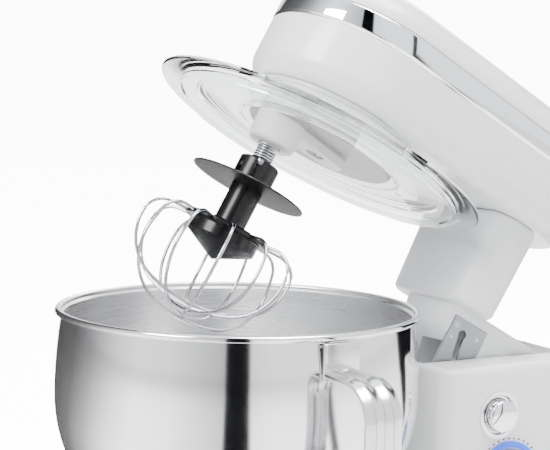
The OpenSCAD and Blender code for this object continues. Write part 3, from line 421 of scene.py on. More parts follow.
# %% Plastics
white = finish("gloss white plastic", (0.85, 0.855, 0.86), (0.92, 0.92, 0.92), 0.28, spread=0.08,
               grain=260, bump=0.06, depth=0.0002, coat=0.3)
neck_white = finish("satin grey-white plastic", (0.79, 0.8, 0.82), (0.84, 0.84, 0.84), 0.34,
                    grain=1800, bump=0.12)
boss_white = finish("off-white satin plastic", (0.8, 0.8, 0.785), (0.86, 0.86, 0.85), 0.3,
                    grain=900, bump=0.1)
black_plastic = finish("black gloss plastic", (0.004, 0.004, 0.005), (0.02, 0.02, 0.02), 0.24,
                       grain=1600, bump=0.1)
disc_black = finish("black disc plastic", (0.004, 0.004, 0.005), (0.02, 0.02, 0.02), 0.5,
                    grain=1200, bump=0.12)
for plastic in (black_plastic, disc_black):
    shader_inputs(plastic)["Specular IOR Level"].default_value = 0.25
disc_grey = finish("grey satin plastic", (0.34, 0.34, 0.35), (0.45, 0.45, 0.45), 0.36, grain=1200, bump=0.1)
rubber = finish("black rubber", (0.015, 0.015, 0.015), (0.05, 0.05, 0.05), 0.75, grain=2500, bump=0.3)
ink = finish("raised dark dots", (0.03, 0.03, 0.04), (0.1, 0.1, 0.1), 0.5)
board_green = finish("lacquered circuit board", (0.02, 0.16, 0.07), (0.1, 0.3, 0.15), 0.3, coat=0.4,
                     patches=150, bump=0.2)

# %% Metals
chrome = finish("mirror chrome", (0.85, 0.86, 0.88), (0.95, 0.95, 0.95), 0.05, spread=0.05,
                metallic=1, grain=120, bump=0.02, depth=0.0001, edge_share=0.1)
polished = finish("polished steel", (0.72, 0.72, 0.73), (0.85, 0.85, 0.85), 0.12, spread=0.08,
                  metallic=1, grain=300, bump=0.03, depth=0.0001, edge_share=0.2)
handle_steel = finish("pressed steel", (0.7, 0.7, 0.71), (0.88, 0.88, 0.88), 0.2, spread=0.14,
                      metallic=1, grain=700, bump=0.06)
wire_steel = finish("drawn bright wire", (0.5, 0.5, 0.52), (0.65, 0.65, 0.65), 0.14, metallic=1,
                    grain=1500, bump=0.06)
plain_steel = brush(finish("plain steel", (0.48, 0.49, 0.51), (0.7, 0.7, 0.71), 0.28, metallic=1),
                    (1, 1, 12))
plate_steel = brush(finish("zinc plate", (0.27, 0.275, 0.29), (0.45, 0.45, 0.45), 0.38, metallic=1),
                    (1, 14, 1), strength=0.3)
cast_grey = finish("satin grey casting", (0.42, 0.43, 0.44), (0.6, 0.6, 0.6), 0.4, metallic=0.85,
                   grain=1400, bump=0.35, depth=0.0003)
bronze = finish("oil-filled bronze", (0.55, 0.38, 0.16), (0.75, 0.6, 0.35), 0.35, metallic=1,
                grain=2200, bump=0.25)
copper = brush(finish("wound copper", (0.65, 0.28, 0.12), (0.8, 0.5, 0.3), 0.3, metallic=1),
               (1, 1, 20), scale=200, strength=0.6, depth=0.0004)

# %% [markdown]
# The bowl is polished outside and brushed in level rings inside. Its one material
# tells the two apart by the side that the surface faces: a point whose normal leans
# to the bowl's axis is inside.

# %% Bowl steel
def bowl_finish():
    m = finish("bowl steel", (0.8, 0.8, 0.81), (0.9, 0.9, 0.9), 0.09, spread=0.06, metallic=1,
               grain=350, bump=0.02, depth=0.0001, edge_share=0.15)
    tree, shader = m.node_tree, shader_inputs(m)
    level = node(tree, "VectorMath", operation="MULTIPLY")
    level.inputs[1].default_value = (1, 1, 0)
    feed(tree, level.inputs[0], node(tree, "TexCoord").outputs["Object"])
    lean = node(tree, "VectorMath", operation="DOT_PRODUCT")
    feed(tree, lean.inputs[0], level.outputs["Vector"])
    feed(tree, lean.inputs[1], node(tree, "NewGeometry").outputs["Normal"])
    inside = calculate(tree, "LESS_THAN", lean.outputs["Value"], -0.01)
    rings = noise(tree, stretched(tree, (0.02, 0.02, 1)), 1500, 4)
    amount = calculate(tree, "MULTIPLY", rings, inside)
    plain = shader["Roughness"].links[0].from_socket
    feed(tree, shader["Roughness"], calculate(tree, "MULTIPLY_ADD", amount, 0.42, plain))
    add_bump(m, amount, 0.3, 0.0001)
    return m


bowl_steel = bowl_finish()

# %% [markdown]
# The splash guard is clear plastic: it lets light through, and faint scuffs vary its
# gloss. The light ring round the dial glows blue and a little unevenly.

# %% Clear plastic and the light ring
def clear_plastic():
    m = bpy.data.materials.new("clear plastic")
    m.use_nodes = True
    tree, shader = m.node_tree, shader_inputs(m)
    shader["Base Color"].default_value = (0.96, 0.975, 0.98, 1)
    shader["Transmission Weight"].default_value = 1
    shader["IOR"].default_value = 1.2
    given = surface(tree, 60, 40, 0.04, 0.08)
    feed(tree, shader["Roughness"], given["Roughness"])
    add_bump(m, given["Height"], 0.05, 0.0003)
    return m


def glowing_blue():
    m = finish("blue light guide", (0.01, 0.08, 0.6), (0.1, 0.25, 0.9), 0.3)
    tree, shader = m.node_tree, shader_inputs(m)
    patch = node(tree, "TexNoise")
    patch.inputs["Scale"].default_value = 60
    glow = mix(tree, patch.outputs["Fac"], (0.0, 0.06, 0.75, 1), (0.01, 0.16, 1, 1))
    feed(tree, shader["Emission Color"], glow)
    shader["Emission Strength"].default_value = 1.1
    return m


clear = clear_plastic()
blue = glowing_blue()

# %% [markdown]
# ## The bowl
# A real bowl is spun from a flat disc over a wooden former. Here the same line is
# spun: up the outside, round the rolled bead and down the inside. The belly is part
# of an ellipse, and above it the wall draws in a little towards the bead.

# %% Spin the bowl
foot_h = 6.8 * MM
bowl_t = 1.5 * MM
bowl_low = bowl_box[0].z + foot_h
bowl_h = rim_z - bowl_low
belly_h = 0.63 * bowl_h
belly_drop = 1.14 * belly_h
belly_r = bowl_r - 0.2 * MM
neck_in = 4 * MM


def bowl_radius(h):
    if h < belly_h:
        return belly_r * math.sqrt(1 - ((belly_h - h) / belly_drop) ** 2)
    return belly_r - neck_in * ((h - belly_h) / (bowl_h - 4 * MM - belly_h)) ** 2


def bowl_line(thin, count=26):
    top = bowl_h - 4.5 * MM
    return [(bowl_radius(top * i / count) - thin, bowl_low + top * i / count) for i in range(count + 1)]


bead = 2.2 * MM
bead_at = (bowl_r - bead, rim_z - bead)
outside = bowl_line(0)
inside = bowl_line(bowl_t)[1:]
roll = arc(bead_at[0], bead_at[1], bead, -100, 200, 14)
floor_in = (inside[0][0] - 4 * MM, bowl_low + bowl_t)
bowl_profile = ([(0.0, bowl_low)] + outside + roll + inside[::-1] + [floor_in, (0.0, bowl_low + bowl_t)])
bowl = lathe("bowl_shell", bowl_profile, steps=128)
smooth(bowl, 40)
ring_r = 54 * MM
foot = lathe("bowl_foot", [(ring_r - 2 * MM, bowl_box[0].z), (ring_r, bowl_box[0].z),
                           (ring_r, bowl_low + 0.5 * MM), (ring_r - 2 * MM, bowl_low + 0.5 * MM)])
soften(foot, 0.3 * MM)
place(bowl, bowl_steel, "bowl", "bowl")
place(foot, polished, "bowl")

# %% [markdown]
# ## The handle
# A steel strap with two pressed ridges. Its cross-section is drawn once as a strip,
# then pulled out straight, spun round each bend and pulled on, as a tube bender
# would work. A solidify modifier gives it the sheet's thickness. A small curved
# plate joins it to the bowl under the bead.

# %% Bend the strap
handle_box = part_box("bowl_handle")
strap_w = 24.5 * MM
strap_t = 2.4 * MM
bend_r = 22 * MM
out_x = handle_box[1].x - strap_t
strap_top = rim_z - 22 * MM
strap_low = handle_box[0].z + strap_t
in_x = bowl_r - 3.5 * MM


def ridge(share):
    """Height of the pressed section across the strap: two ridges and a groove."""
    return 1.5 * MM * math.sin(math.pi * 2 * share) ** 2


count = 24
section = [(in_x, (i / count - 0.5) * strap_w, strap_top + ridge(i / count)) for i in range(count + 1)]
strap = trace("bowl_handle_strap", section)


def swing(steps, angle, centre, axis):
    """Spins the selection, right-handed about the axis."""
    bpy.ops.mesh.spin(steps=steps, angle=-angle, center=centre, axis=axis)


edit(strap)
pull((out_x - bend_r - in_x, 0, 0))
swing(12, math.pi / 2, (out_x - bend_r, 0, strap_top - bend_r), (0, 1, 0))
pull((0, 0, strap_low + 2 * bend_r - strap_top))
swing(12, math.pi / 2, (out_x - bend_r, 0, strap_low + bend_r), (0, 1, 0))
pull((in_x - out_x + bend_r - 6 * MM, 0, 0))
done()
clean(strap)
sheet = strap.modifiers.new("sheet steel", "SOLIDIFY")
sheet.thickness = strap_t
sheet.offset = -1
apply_all(strap)
clean(strap)
soften(strap, 0.4 * MM, 2, 50)
plate_low, plate_high = rim_z - 27 * MM, rim_z - 5 * MM
weld_r = bowl_radius(plate_low - bowl_low) + 0.1 * MM
turn = math.asin(strap_w / 2 / weld_r)
weld = trace("bowl_handle_plate", [(weld_r, 0, plate_low), (weld_r, 0, plate_high),
                                   (weld_r + 2.6 * MM, 0, plate_high), (weld_r + 2.6 * MM, 0, plate_low)],
             closed=True)
edit(weld)
bpy.ops.transform.rotate(value=turn, orient_axis="Z", center_override=(0, 0, 0))
swing(10, 2 * turn, (0, 0, 0), (0, 0, 1))
done()
clean(weld)
soften(weld, 0.8 * MM)
handle_turn = math.radians(4)
for piece in (strap, weld):
    move(piece, Matrix.Rotation(handle_turn, 4, "Z"))
place(strap, handle_steel, "bowl", "bowl_handle")
place(weld, handle_steel, "bowl")

# %% [markdown]
# ## The head
# Seen from above the head is a long shape with a round nose and a round tail. A
# section is spun full round at the nose, and the half that faces the tail is then
# slid back by the head's length, which draws the straight sides out between.

# %% Stretch a spun shape into a head
def head_shape(name, profile):
    obj = lathe(name, profile, steps=96)
    pick(obj, lambda p: p.y > 0)
    bpy.ops.transform.translate(value=(0, head_len, 0))
    done()
    return obj


low_z, seam_z = shell_box[0].z, shell_box[1].z
edge_r = 15 * MM
skin = 3 * MM
opening_r = 53 * MM
shell_profile = ([(opening_r, low_z)] + arc(head_r - edge_r, low_z + edge_r, edge_r, -88, 0, 10)
                 + [(head_r, seam_z - 0.6 * MM), (head_r - 0.6 * MM, seam_z), (head_r - skin, seam_z)]
                 + arc(head_r - edge_r, low_z + edge_r, edge_r - skin, 0, -88, 8)
                 + [(opening_r, low_z + skin)])
shell = head_shape("head_shell_skin", shell_profile)
smooth(shell, 40)
underside = prism("head_underside", arc(0, head_len, opening_r, 0, 180, 40)
                  + arc(0, 0, opening_r, 180, 360, 40), low_z + 0.02 * MM, low_z + skin)
hole = prism("hole", arc(0, 0, opening_r - 0.3 * MM, 0, 359, 90), low_z - skin, low_z + 3 * skin)
cut(underside, hole)
smooth(underside)
place(shell, white, "head", "head_shell", on_head=True)
place(underside, white, "head", on_head=True)

# %% The bright band and the top
band_low, band_high = band_box[0].z, band_box[1].z
band_profile = [(head_r - skin, band_low + 0.2 * MM), (head_r - 0.7 * MM, band_low + 0.2 * MM)]
band_profile += arc(head_r - 1.0 * MM, band_low + 2.2 * MM, 1.5 * MM, -60, 0, 4)
band_profile += arc(head_r - 1.0 * MM, band_high - 2.2 * MM, 1.5 * MM, 0, 60, 4)
band_profile += [(head_r - 0.7 * MM, band_high - 0.2 * MM), (head_r - skin, band_high - 0.2 * MM)]
band = head_shape("head_bright_band", band_profile)
smooth(band, 50)
place(band, chrome, "head", "chrome_band", on_head=True)
top_r = head_r - 0.5 * MM
top_h = cover_box[1].z - cover_box[0].z


def crown(r, h, n=20):
    return [(r * math.sqrt(max(0.0, math.cos(math.radians(90 * i / n)))),
             band_high + h * math.sin(math.radians(90 * i / n))) for i in range(n + 1)]


top_profile = crown(top_r, top_h) + crown(top_r - skin, top_h - skin)[::-1]
top = head_shape("head_top_cover", top_profile)
smooth(top, 50)
place(top, white, "head", "top_cover", on_head=True)

# %% [markdown]
# ## The neck
# The neck hangs under the head: a rounded block that meets the head, and a narrower
# foot that drops into the column and turns on the hinge, with a recess for its steel lock plate.
# Small moulded ribs stiffen the real foot below the plate; they are not modelled here.

# %% Neck block and foot
neck_box = level_box("neck")
plate_box = level_box("lock_plate")
foot_x = plate_box[1].x
block_low = neck_box[1].z - 68.5 * MM
block_y0 = bowl_r + 4 * MM
block_y1 = block_y0 + 42 * MM
half_w = neck_box[1].x
neck = prism("neck_block", rounded_box((-half_w, block_y0), (half_w, block_y1), 18 * MM, 10),
             block_low, low_z)
pick(neck, lambda p: p.z < block_low + MM)
bpy.ops.transform.resize(value=(0.93, 0.9, 1), center_override=(0, (block_y0 + block_y1) / 2, 0))
done()
soften(neck, 4 * MM, 4)
foot_low = neck_box[0].z
foot_side = [(bowl_r + 15 * MM, block_low + 4 * MM), (bowl_r + 15 * MM, hinge.z + 8 * MM),
             (plate_box[0].y + 3 * MM, hinge.z - 12 * MM), (plate_box[0].y + 8 * MM, foot_low),
             (hinge.y - 22 * MM, foot_low)]
foot_side += arc(hinge.y, hinge.z, 24 * MM, -110, 0, 12)
foot_side += [(hinge.y + 24 * MM, block_low + 2.5 * MM), (bowl_r + 26 * MM, block_low + 2.5 * MM)]
foot_piece = trace("neck_foot", [(-foot_x, y, z) for y, z in foot_side], closed=True)
edit(foot_piece)
pull((2 * foot_x, 0, 0))
done()
clean(foot_piece)
recess = block("recess", (foot_x - 2 * MM, plate_box[0].y - 0.4 * MM, plate_box[0].z - 0.4 * MM),
               (foot_x + MM, plate_box[1].y + 0.4 * MM, plate_box[1].z + 0.4 * MM))
cut(foot_piece, recess)
pocket = block("pocket", (-4 * MM, plate_box[0].y + 3 * MM, plate_box[0].z + 5 * MM),
               (foot_x, plate_box[0].y + 25 * MM, plate_box[1].z - 4 * MM))
cut(foot_piece, pocket)
bore = lathe("bore", [(0.0, -60 * MM), (8 * MM, -60 * MM), (8 * MM, 60 * MM), (0.0, 60 * MM)], 48)
move(bore, Matrix.Translation(hinge) @ Matrix.Rotation(math.pi / 2, 4, "Y"))
cut(foot_piece, bore)
soften(foot_piece, 0.8 * MM, 2)
place(neck, neck_white, "head", "neck", on_head=True)
place(foot_piece, neck_white, "head", on_head=True)

# %% [markdown]
# ## Column and base
# One moulding: the platform under the bowl and the upright column. The platform's
# outline is a wide arc at the front with two tighter arcs at the back. The column's
# top and corners are well rounded, and a slot in its deck lets the foot swing. Both
# are hollow, with room inside for the board, the switch and the latch.

# %% Platform and column
base_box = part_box("base_housing")
deck = base_box[1].z
back_y = base_box[1].y
low = base_box[0].z
seat_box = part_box("bowl_seat")
platform = seat_box[1].z + 0.5 * MM
front_r = -base_box[0].y
column_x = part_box("button_bezel")[1].x - 0.8 * MM
corner = 26 * MM
lean = math.degrees(math.atan2(column_x - front_r + corner, back_y - corner))
base_line = (arc(0, 0, front_r, 180 + lean, 360 - lean, 48)
             + arc(column_x, back_y - corner, corner, -lean, 90, 12)
             + arc(-column_x, back_y - corner, corner, 90, 180 + lean, 12))
base = prism("base_platform", base_line, low, platform)
well = prism("well", arc(0, 0, seat_box[1].x + 0.3 * MM, 0, 356, 89), seat_box[0].z, platform + MM)
cut(base, well)
soften(base, 4 * MM, 4, 40)
inner_line = (arc(0, 0, front_r - skin, 180 + lean, 360 - lean, 48)
              + arc(column_x, back_y - corner, corner - skin, -lean, 90, 12)
              + arc(-column_x, back_y - corner, corner - skin, 90, 180 + lean, 12))
inside = prism("inside", inner_line, low - MM, platform - 2 * skin)
kept = prism("kept", arc(0, 0, seat_box[1].x + skin, 0, 356, 89), seat_box[0].z - skin, platform)
cut(inside, kept)
cut(base, inside)
column_y = bowl_r + 6 * MM
column = prism("base_column", rounded_box((-column_x, column_y), (column_x, back_y), 12 * MM, 8),
               platform - MM, deck)
soften(column, 4.5 * MM, 4, 40)
slot_x = foot_x + 2 * MM
room = rounded_box((skin - column_x, column_y + skin), (column_x - skin, back_y - skin), 9 * MM, 8)
inside = prism("inside", room, platform - 2 * MM, deck - skin)
cut(column, inside)
slot = block("slot", (-slot_x, column_y + skin, deck - 2 * skin), (slot_x, back_y - skin, deck + MM))
cut(column, slot)
button_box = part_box("release_button")
button_at = middle(button_box)
bezel_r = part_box("button_bezel")[1].y - button_at.y
cup = lathe("cup", [(0.0, -20 * MM), (bezel_r - MM, -20 * MM), (bezel_r - MM, 10 * MM), (0.0, 10 * MM)], 64)
side_turn = Matrix.Rotation(math.pi / 2, 4, "Y")
button_y, button_z = middle(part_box("button_bezel")).yz
move(cup, Matrix.Translation((column_x, button_y, button_z)) @ side_turn)
cut(column, cup)
smooth(column, 35)
smooth(base, 35)
place(base, white, "base", "base_housing")
place(column, white, "base")

# %% [markdown]
# ## Controls
# A domed bright button sits in a recess with a steel rim. Below it the dial has a
# fluted edge and a pointer line, and a blue light guide glows round it inside a ring
# of raised dots. Each round piece is spun lying flat and then stood on its side.

# %% Button, bezel, dial and light
def on_side(obj, y, z):
    move(obj, Matrix.Translation((column_x, y, z)) @ side_turn)


button_r = min((button_box[1].y - button_box[0].y) / 2, 11 * MM)
button_top = button_box[1].x - column_x
dome = ([(0.0, button_top)] + [(button_r * math.sin(t), button_top - 3 * MM * (1 - math.cos(t)))
                               for t in [math.radians(90 * i / 10) for i in range(1, 11)]]
        + [(button_r, -4 * MM), (0.0, -4 * MM)])
button = lathe("release_button_cap", dome, 64)
smooth(button, 50)
on_side(button, button_y, button_z)
place(button, chrome, "release", "release_button")
bezel = lathe("button_rim", [(button_r + 0.5 * MM, -3 * MM), (bezel_r - MM, -3 * MM), (bezel_r - MM, 0.0),
                             (bezel_r, 0.1 * MM), (bezel_r, 0.8 * MM), (bezel_r - 2.4 * MM, 0.8 * MM),
                             (button_r + 1.6 * MM, -1.5 * MM), (button_r + 0.5 * MM, -1.6 * MM)], 64)
smooth(bezel)
on_side(bezel, button_y, button_z)
place(bezel, polished, "base", "button_bezel")
dial_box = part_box("speed_dial")
dial_y, dial_z = middle(dial_box).yz
dial_r = (dial_box[1].y - dial_box[0].y) / 2
dial_top = dial_box[1].x - column_x
dial = lathe("speed_dial_knob", [(0.0, dial_top - 2 * MM), (dial_r - 5 * MM, dial_top - 1.7 * MM),
                                 (dial_r - 4 * MM, dial_top), (dial_r - 1.4 * MM, dial_top),
                                 (dial_r, dial_top - 1.6 * MM), (dial_r, 1.4 * MM),
                                 (dial_r - 0.6 * MM, 0.8 * MM), (0.0, 0.8 * MM)], 96)
flute_top = dial_top - 2.5 * MM
flute = lathe("flute", [(0.0, MM), (0.55 * MM, MM), (0.55 * MM, flute_top), (0.0, flute_top)], 12)
move(flute, Matrix.Translation((dial_r + 0.15 * MM, 0, 0)))
flutes = [flute] + [copy(flute, "flute", Matrix.Rotation(2 * math.pi * i / 48, 4, "Z")) for i in range(1, 48)]
deselect()
for f in flutes:
    f.select_set(True)
bpy.context.view_layer.objects.active = flute
bpy.ops.object.join()
cut(dial, flute)
pointer = block("pointer", (-0.6 * MM, dial_r - 9 * MM, dial_top - 2.6 * MM),
                (0.6 * MM, dial_r + MM, dial_top + MM))
cut(dial, pointer)
smooth(dial)
on_side(dial, dial_y, dial_z)
place(dial, handle_steel, "dial", "speed_dial")
ring_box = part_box("dial_light_ring")
ring_out = (ring_box[1].y - ring_box[0].y) / 2
light = lathe("dial_light", [(ring_out - 4 * MM, 0.0), (ring_out, 0.0), (ring_out, MM),
                             (ring_out - MM, 1.6 * MM), (ring_out - 3 * MM, 1.6 * MM),
                             (ring_out - 4 * MM, MM)], 96)
smooth(light)
on_side(light, dial_y, dial_z)
place(light, blue, "base", "dial_light_ring")

# %% [markdown]
# ## Planetary drive
# A grey disc turns under the head. The white round boss on it carries the whisk's
# shaft round the bowl, and an arm ties the boss to the disc's centre, where one
# recessed screw holds it.

# %% Carrier, boss, arm and its screw
carrier_box = level_box("planet_carrier")
carrier_r = (carrier_box[1].x - carrier_box[0].x) / 2
disc_low = carrier_box[0].z
carrier = lathe("planet_disc", [(0.0, disc_low), (carrier_r - 1.5 * MM, disc_low),
                                (carrier_r, disc_low + 1.5 * MM),
                                (carrier_r, disc_low + 14 * MM), (carrier_r - 2.5 * MM, disc_low + 14 * MM),
                                (carrier_r - 2.5 * MM, disc_low + 3 * MM), (0.0, disc_low + 3 * MM)], 128)
smooth(carrier)
place(carrier, disc_grey, "planetary", "planet_carrier", on_head=True)
arm_box = level_box("carrier_arm")
boss_low = arm_box[0].z
boss_r = 16 * MM
boss_bore_r = 4.1 * MM
arm_low = rim_z
boss = lathe("whisk_boss", [(boss_bore_r, disc_low), (boss_r + 0.6 * MM, disc_low),
                            (boss_r, boss_low + 3 * MM), (boss_r - MM, boss_low + MM),
                            (boss_r - 3 * MM, boss_low), (boss_bore_r, boss_low)], 96, whisk_axis)
along = whisk_axis.normalized()
heading = math.degrees(math.atan2(along.y, along.x))
far = -12 * MM * along
arm_line = (arc(whisk_axis.x, whisk_axis.y, boss_r - 2 * MM, heading - 90, heading + 90, 16)
            + arc(far.x, far.y, 11 * MM, heading + 90, heading + 270, 16))
arm = prism("boss_arm", arm_line, arm_low, disc_low)
counterbore = lathe("hole", [(0.0, arm_low - MM), (6.5 * MM, arm_low - MM), (6.5 * MM, arm_low + 2 * MM),
                             (0.0, arm_low + 2 * MM)], 48)
cut(arm, counterbore)
shaft_hole = lathe("hole", [(0.0, arm_low - MM), (15 * MM, arm_low - MM), (15 * MM, disc_low + MM),
                            (0.0, disc_low + MM)], 48, whisk_axis)
cut(arm, shaft_hole)
soften(arm, 1.4 * MM, 4, 40)
smooth(boss, 40)
place(boss, boss_white, "planetary", "carrier_arm", on_head=True)
place(arm, boss_white, "planetary", on_head=True)


def phillips(name, r, height):
    """A pan-head screw with its cross recess, its head up at the origin."""
    head = lathe(name, [(0.0, 0.0), (r, 0.0), (r, 0.35 * height), (0.8 * r, 0.8 * height),
                        (0.4 * r, height), (0.0, height)], 32)
    for turn in (0, math.pi / 2):
        bar = block("bar", (-0.62 * r, -0.13 * r, 0.35 * height), (0.62 * r, 0.13 * r, height + MM))
        move(bar, Matrix.Rotation(turn, 4, "Z"))
        cut(head, bar)
    smooth(head)
    return head


screw = phillips("arm_screw_head", 5 * MM, 1.9 * MM)
move(screw, Matrix.Translation((0, 0, arm_low + 2 * MM)) @ Matrix.Rotation(math.pi, 4, "X"))
place(screw, plain_steel, "planetary", "arm_screw", on_head=True)
spots = [(plate_box[0].y + 3.8 * MM, plate_box[1].z - 4.8 * MM),
         (plate_box[1].y - 4.8 * MM, plate_box[0].z + 11.8 * MM)]
plate_screw = phillips("lock_plate_screw.001", 3 * MM, 1.4 * MM)
other = copy(plate_screw, "lock_plate_screw.002", Matrix.Identity(4))
for piece, (y, z) in zip((plate_screw, other), spots):
    move(piece, Matrix.Translation((foot_x, y, z)) @ side_turn)
place(plate_screw, plain_steel, "head", "lock_plate_screws", on_head=True)
place(other, plain_steel, "head", on_head=True)

# %% [markdown]
# ## Shaft, spring and whisk
# The shaft has a cross pin that locks into the whisk's collar, and the coil spring
# keeps the collar pressed down on the pin. The spring is a small circle of wire
# wound up by a screw modifier.

# %% Shaft, pin, washer and spring
shaft_low = level_box("output_shaft")[0].z
shaft_r = 4 * MM
shaft = lathe("whisk_shaft", [(0.0, shaft_low), (shaft_r - 0.6 * MM, shaft_low),
                              (shaft_r, shaft_low + 0.6 * MM),
                              (shaft_r, disc_low), (0.0, disc_low)], 48, whisk_axis)
smooth(shaft)
place(shaft, plain_steel, "output", "output_shaft", on_head=True)
spring_box = level_box("shaft_spring")
spring_low, spring_high = spring_box[0].z, spring_box[1].z
wire = 0.75 * MM
coils = 5
deselect()
bpy.ops.mesh.primitive_circle_add(vertices=12, radius=wire, location=(6.2 * MM, 0, spring_low + wire),
                                  rotation=(math.pi / 2, 0, 0))
spring = bpy.context.object
spring.name = "whisk_spring"
bpy.ops.object.transform_apply(location=True, rotation=True)
wind = spring.modifiers.new("wind", "SCREW")
wind.steps = wind.render_steps = 32
wind.iterations = coils
wind.screw_offset = (spring_high - spring_low - 2 * wire) / coils
apply_all(spring)
clean(spring)
edit(spring)
bpy.ops.mesh.select_all(action="DESELECT")
bpy.ops.mesh.select_non_manifold()
bpy.ops.mesh.edge_face_add()
done()
clean(spring)
smooth(spring, 60)
move(spring, Matrix.Translation((whisk_axis.x, whisk_axis.y, 0)))
place(spring, wire_steel, "output", "shaft_spring", on_head=True)
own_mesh(spring)

# %% [markdown]
# The collar is a short thick sleeve with a slot for the pin and a notch where the
# pin comes in. Below it are the thin splash disc, the stem and the hub that holds
# the wires.

# %% Collar, stem, disc and hub
stem_low, collar_high = collar_box[0].z, collar_box[1].z
collar_r = 13.5 * MM
stem_r = 10.5 * MM
bore_r = 4.3 * MM
collar_low = level_box("splash_disc")[1].z + 2.8 * MM
stem = lathe("whisk_collar", [(bore_r, collar_high), (collar_r - 1.2 * MM, collar_high),
                              (collar_r, collar_high - 1.2 * MM), (collar_r, collar_low + MM),
                              (collar_r - MM, collar_low), (stem_r, collar_low - 0.6 * MM), (stem_r, stem_low),
                              (0.0, stem_low), (0.0, collar_low - 8 * MM), (bore_r, collar_low - 8 * MM)], 64)
pin_box = level_box("cross_pin")
pin_z = middle(pin_box).z
slot_cut = block("slot", (-20 * MM, -1.8 * MM, pin_z - 7 * MM), (20 * MM, 1.8 * MM, pin_z + 2 * MM))
cut(stem, slot_cut)
notch = block("notch", (-20 * MM, -2 * MM, collar_high - 4 * MM), (20 * MM, 2 * MM, collar_high + MM))
move(notch, Matrix.Rotation(math.radians(55), 4, "Z"))
cut(stem, notch)
smooth(stem)
on_whisk = Matrix.Translation((whisk_axis.x, whisk_axis.y, 0)) @ Matrix.Rotation(math.radians(heading), 4, "Z")
move(stem, on_whisk)
place(stem, black_plastic, "whisk", "whisk_stem", on_head=True)
splash_box = level_box("splash_disc")
splash_r = (splash_box[1].x - splash_box[0].x) / 2
sz = splash_box[0].z
splash = lathe("whisk_splash_disc", [(stem_r, sz), (splash_r - 1.5 * MM, sz),
                                     (splash_r - 0.3 * MM, sz + 0.1 * MM),
                                     (splash_r, sz + 0.6 * MM), (splash_r - 0.3 * MM, sz + 1.1 * MM),
                                     (stem_r, sz + 1.2 * MM)], 128)
smooth(splash)
move(splash, on_whisk)
place(splash, disc_black, "whisk", "splash_disc", on_head=True)
hub_box = level_box("whisk_hub")
hub_r = (hub_box[1].x - hub_box[0].x) / 2
drum_r = 23.5 * MM
hub_top, hub_low = hub_box[1].z, hub_box[0].z
hub = lathe("whisk_hub_body", [(0.0, hub_top), (stem_r + 2 * MM, hub_top), (hub_r - 1.2 * MM, hub_top),
                               (hub_r, hub_top - 1.2 * MM), (hub_r, hub_top - 2.4 * MM),
                               (hub_r - 0.8 * MM, hub_top - 3.2 * MM), (drum_r + 0.6 * MM, hub_top - 3.3 * MM),
                               (drum_r, hub_top - 4 * MM), (drum_r, hub_low + 12.6 * MM),
                               (drum_r - 0.8 * MM, hub_low + 11.6 * MM), (1.6 * MM, hub_low + 0.8 * MM),
                               (0.0, hub_low)], 96)
wires_box = level_box("whisk_wires")
wire_r = 1.1 * MM
loops = 6
wire_top = hub_top - 2.5 * MM + wire_r - 0.2 * MM
for i in range(2 * loops):
    gap = block("gap", (hub_r - 9 * MM, -wire_r - 0.3 * MM, wire_top - wire_r - 0.4 * MM),
                (hub_r + 3 * MM, wire_r + 0.3 * MM, hub_top + 2 * MM))
    move(gap, Matrix.Rotation(math.pi / loops * i, 4, "Z"))
    cut(hub, gap)
smooth(hub)
move(hub, on_whisk)
place(hub, black_plastic, "whisk", "whisk_hub", on_head=True)

# %% [markdown]
# ## The wires
# Each loop is one length of bright wire: out of the hub, over a shoulder, down,
# round a tight corner and across the bottom. The line is traced, turned into a
# curve with a round section, and turned back into a mesh. The loops cross under the
# hub one above the other.

# %% Bend the wire loops
def wire_line(raise_by):
    lean = math.radians(12)
    corner_r, shoulder_r, drop = 34 * MM, 14 * MM, 3 * MM
    reach = (wires_box[1].y - wires_box[0].y) / 2 - wire_r
    bottom = wires_box[0].z + wire_r + raise_by
    corner_x, corner_z = reach - corner_r, bottom + corner_r + drop
    u = (corner_x ** 2 - drop ** 2) / (2 * drop)
    bottom_r = u + corner_r + drop
    turn = math.degrees(math.atan2(u, corner_x))
    start_x = corner_x + corner_r * math.cos(lean)
    start_z = corner_z + corner_r * math.sin(lean)
    shoulder_z = wire_top - shoulder_r
    run = (shoulder_z + shoulder_r * math.sin(lean) - start_z) / math.cos(lean)
    shoulder_x = start_x - run * math.sin(lean) - shoulder_r * math.cos(lean)
    half = ([(hub_r - 8 * MM, wire_top)] + arc(shoulder_x, shoulder_z, shoulder_r, 90, 12, 10)
            + arc(corner_x, corner_z, corner_r, 12, -turn, 18)
            + arc(0, bottom + bottom_r, bottom_r, -turn, -90, 8)[1:])
    return half + [(-x, z) for x, z in half[-2::-1]]


for i in range(loops):
    loop = trace("whisk_wire.%03d" % (i + 1), [(x, 0, z) for x, z in wire_line(i * (2 * wire_r + 0.1 * MM))])
    only(loop)
    bpy.ops.object.convert(target="CURVE")
    loop = bpy.context.object
    loop.data.bevel_depth = wire_r
    loop.data.bevel_resolution = 3
    loop.data.use_fill_caps = True
    bpy.ops.object.convert(target="MESH")
    loop = bpy.context.object
    clean(loop)
    smooth(loop, 60)
    move(loop, on_whisk @ Matrix.Rotation(math.pi / loops * i, 4, "Z"))
    place(loop, wire_steel, "whisk", *(["whisk_wires"] if i == 0 else []), on_head=True)

# %% [markdown]
# ## The splash guard
# One clear moulding: a wide flange that rests over the bowl's bead, a skirt that
# drops inside it, a raised rib for strength and a collar that hooks onto the ring
# under the head. Three small pegs help to twist it.

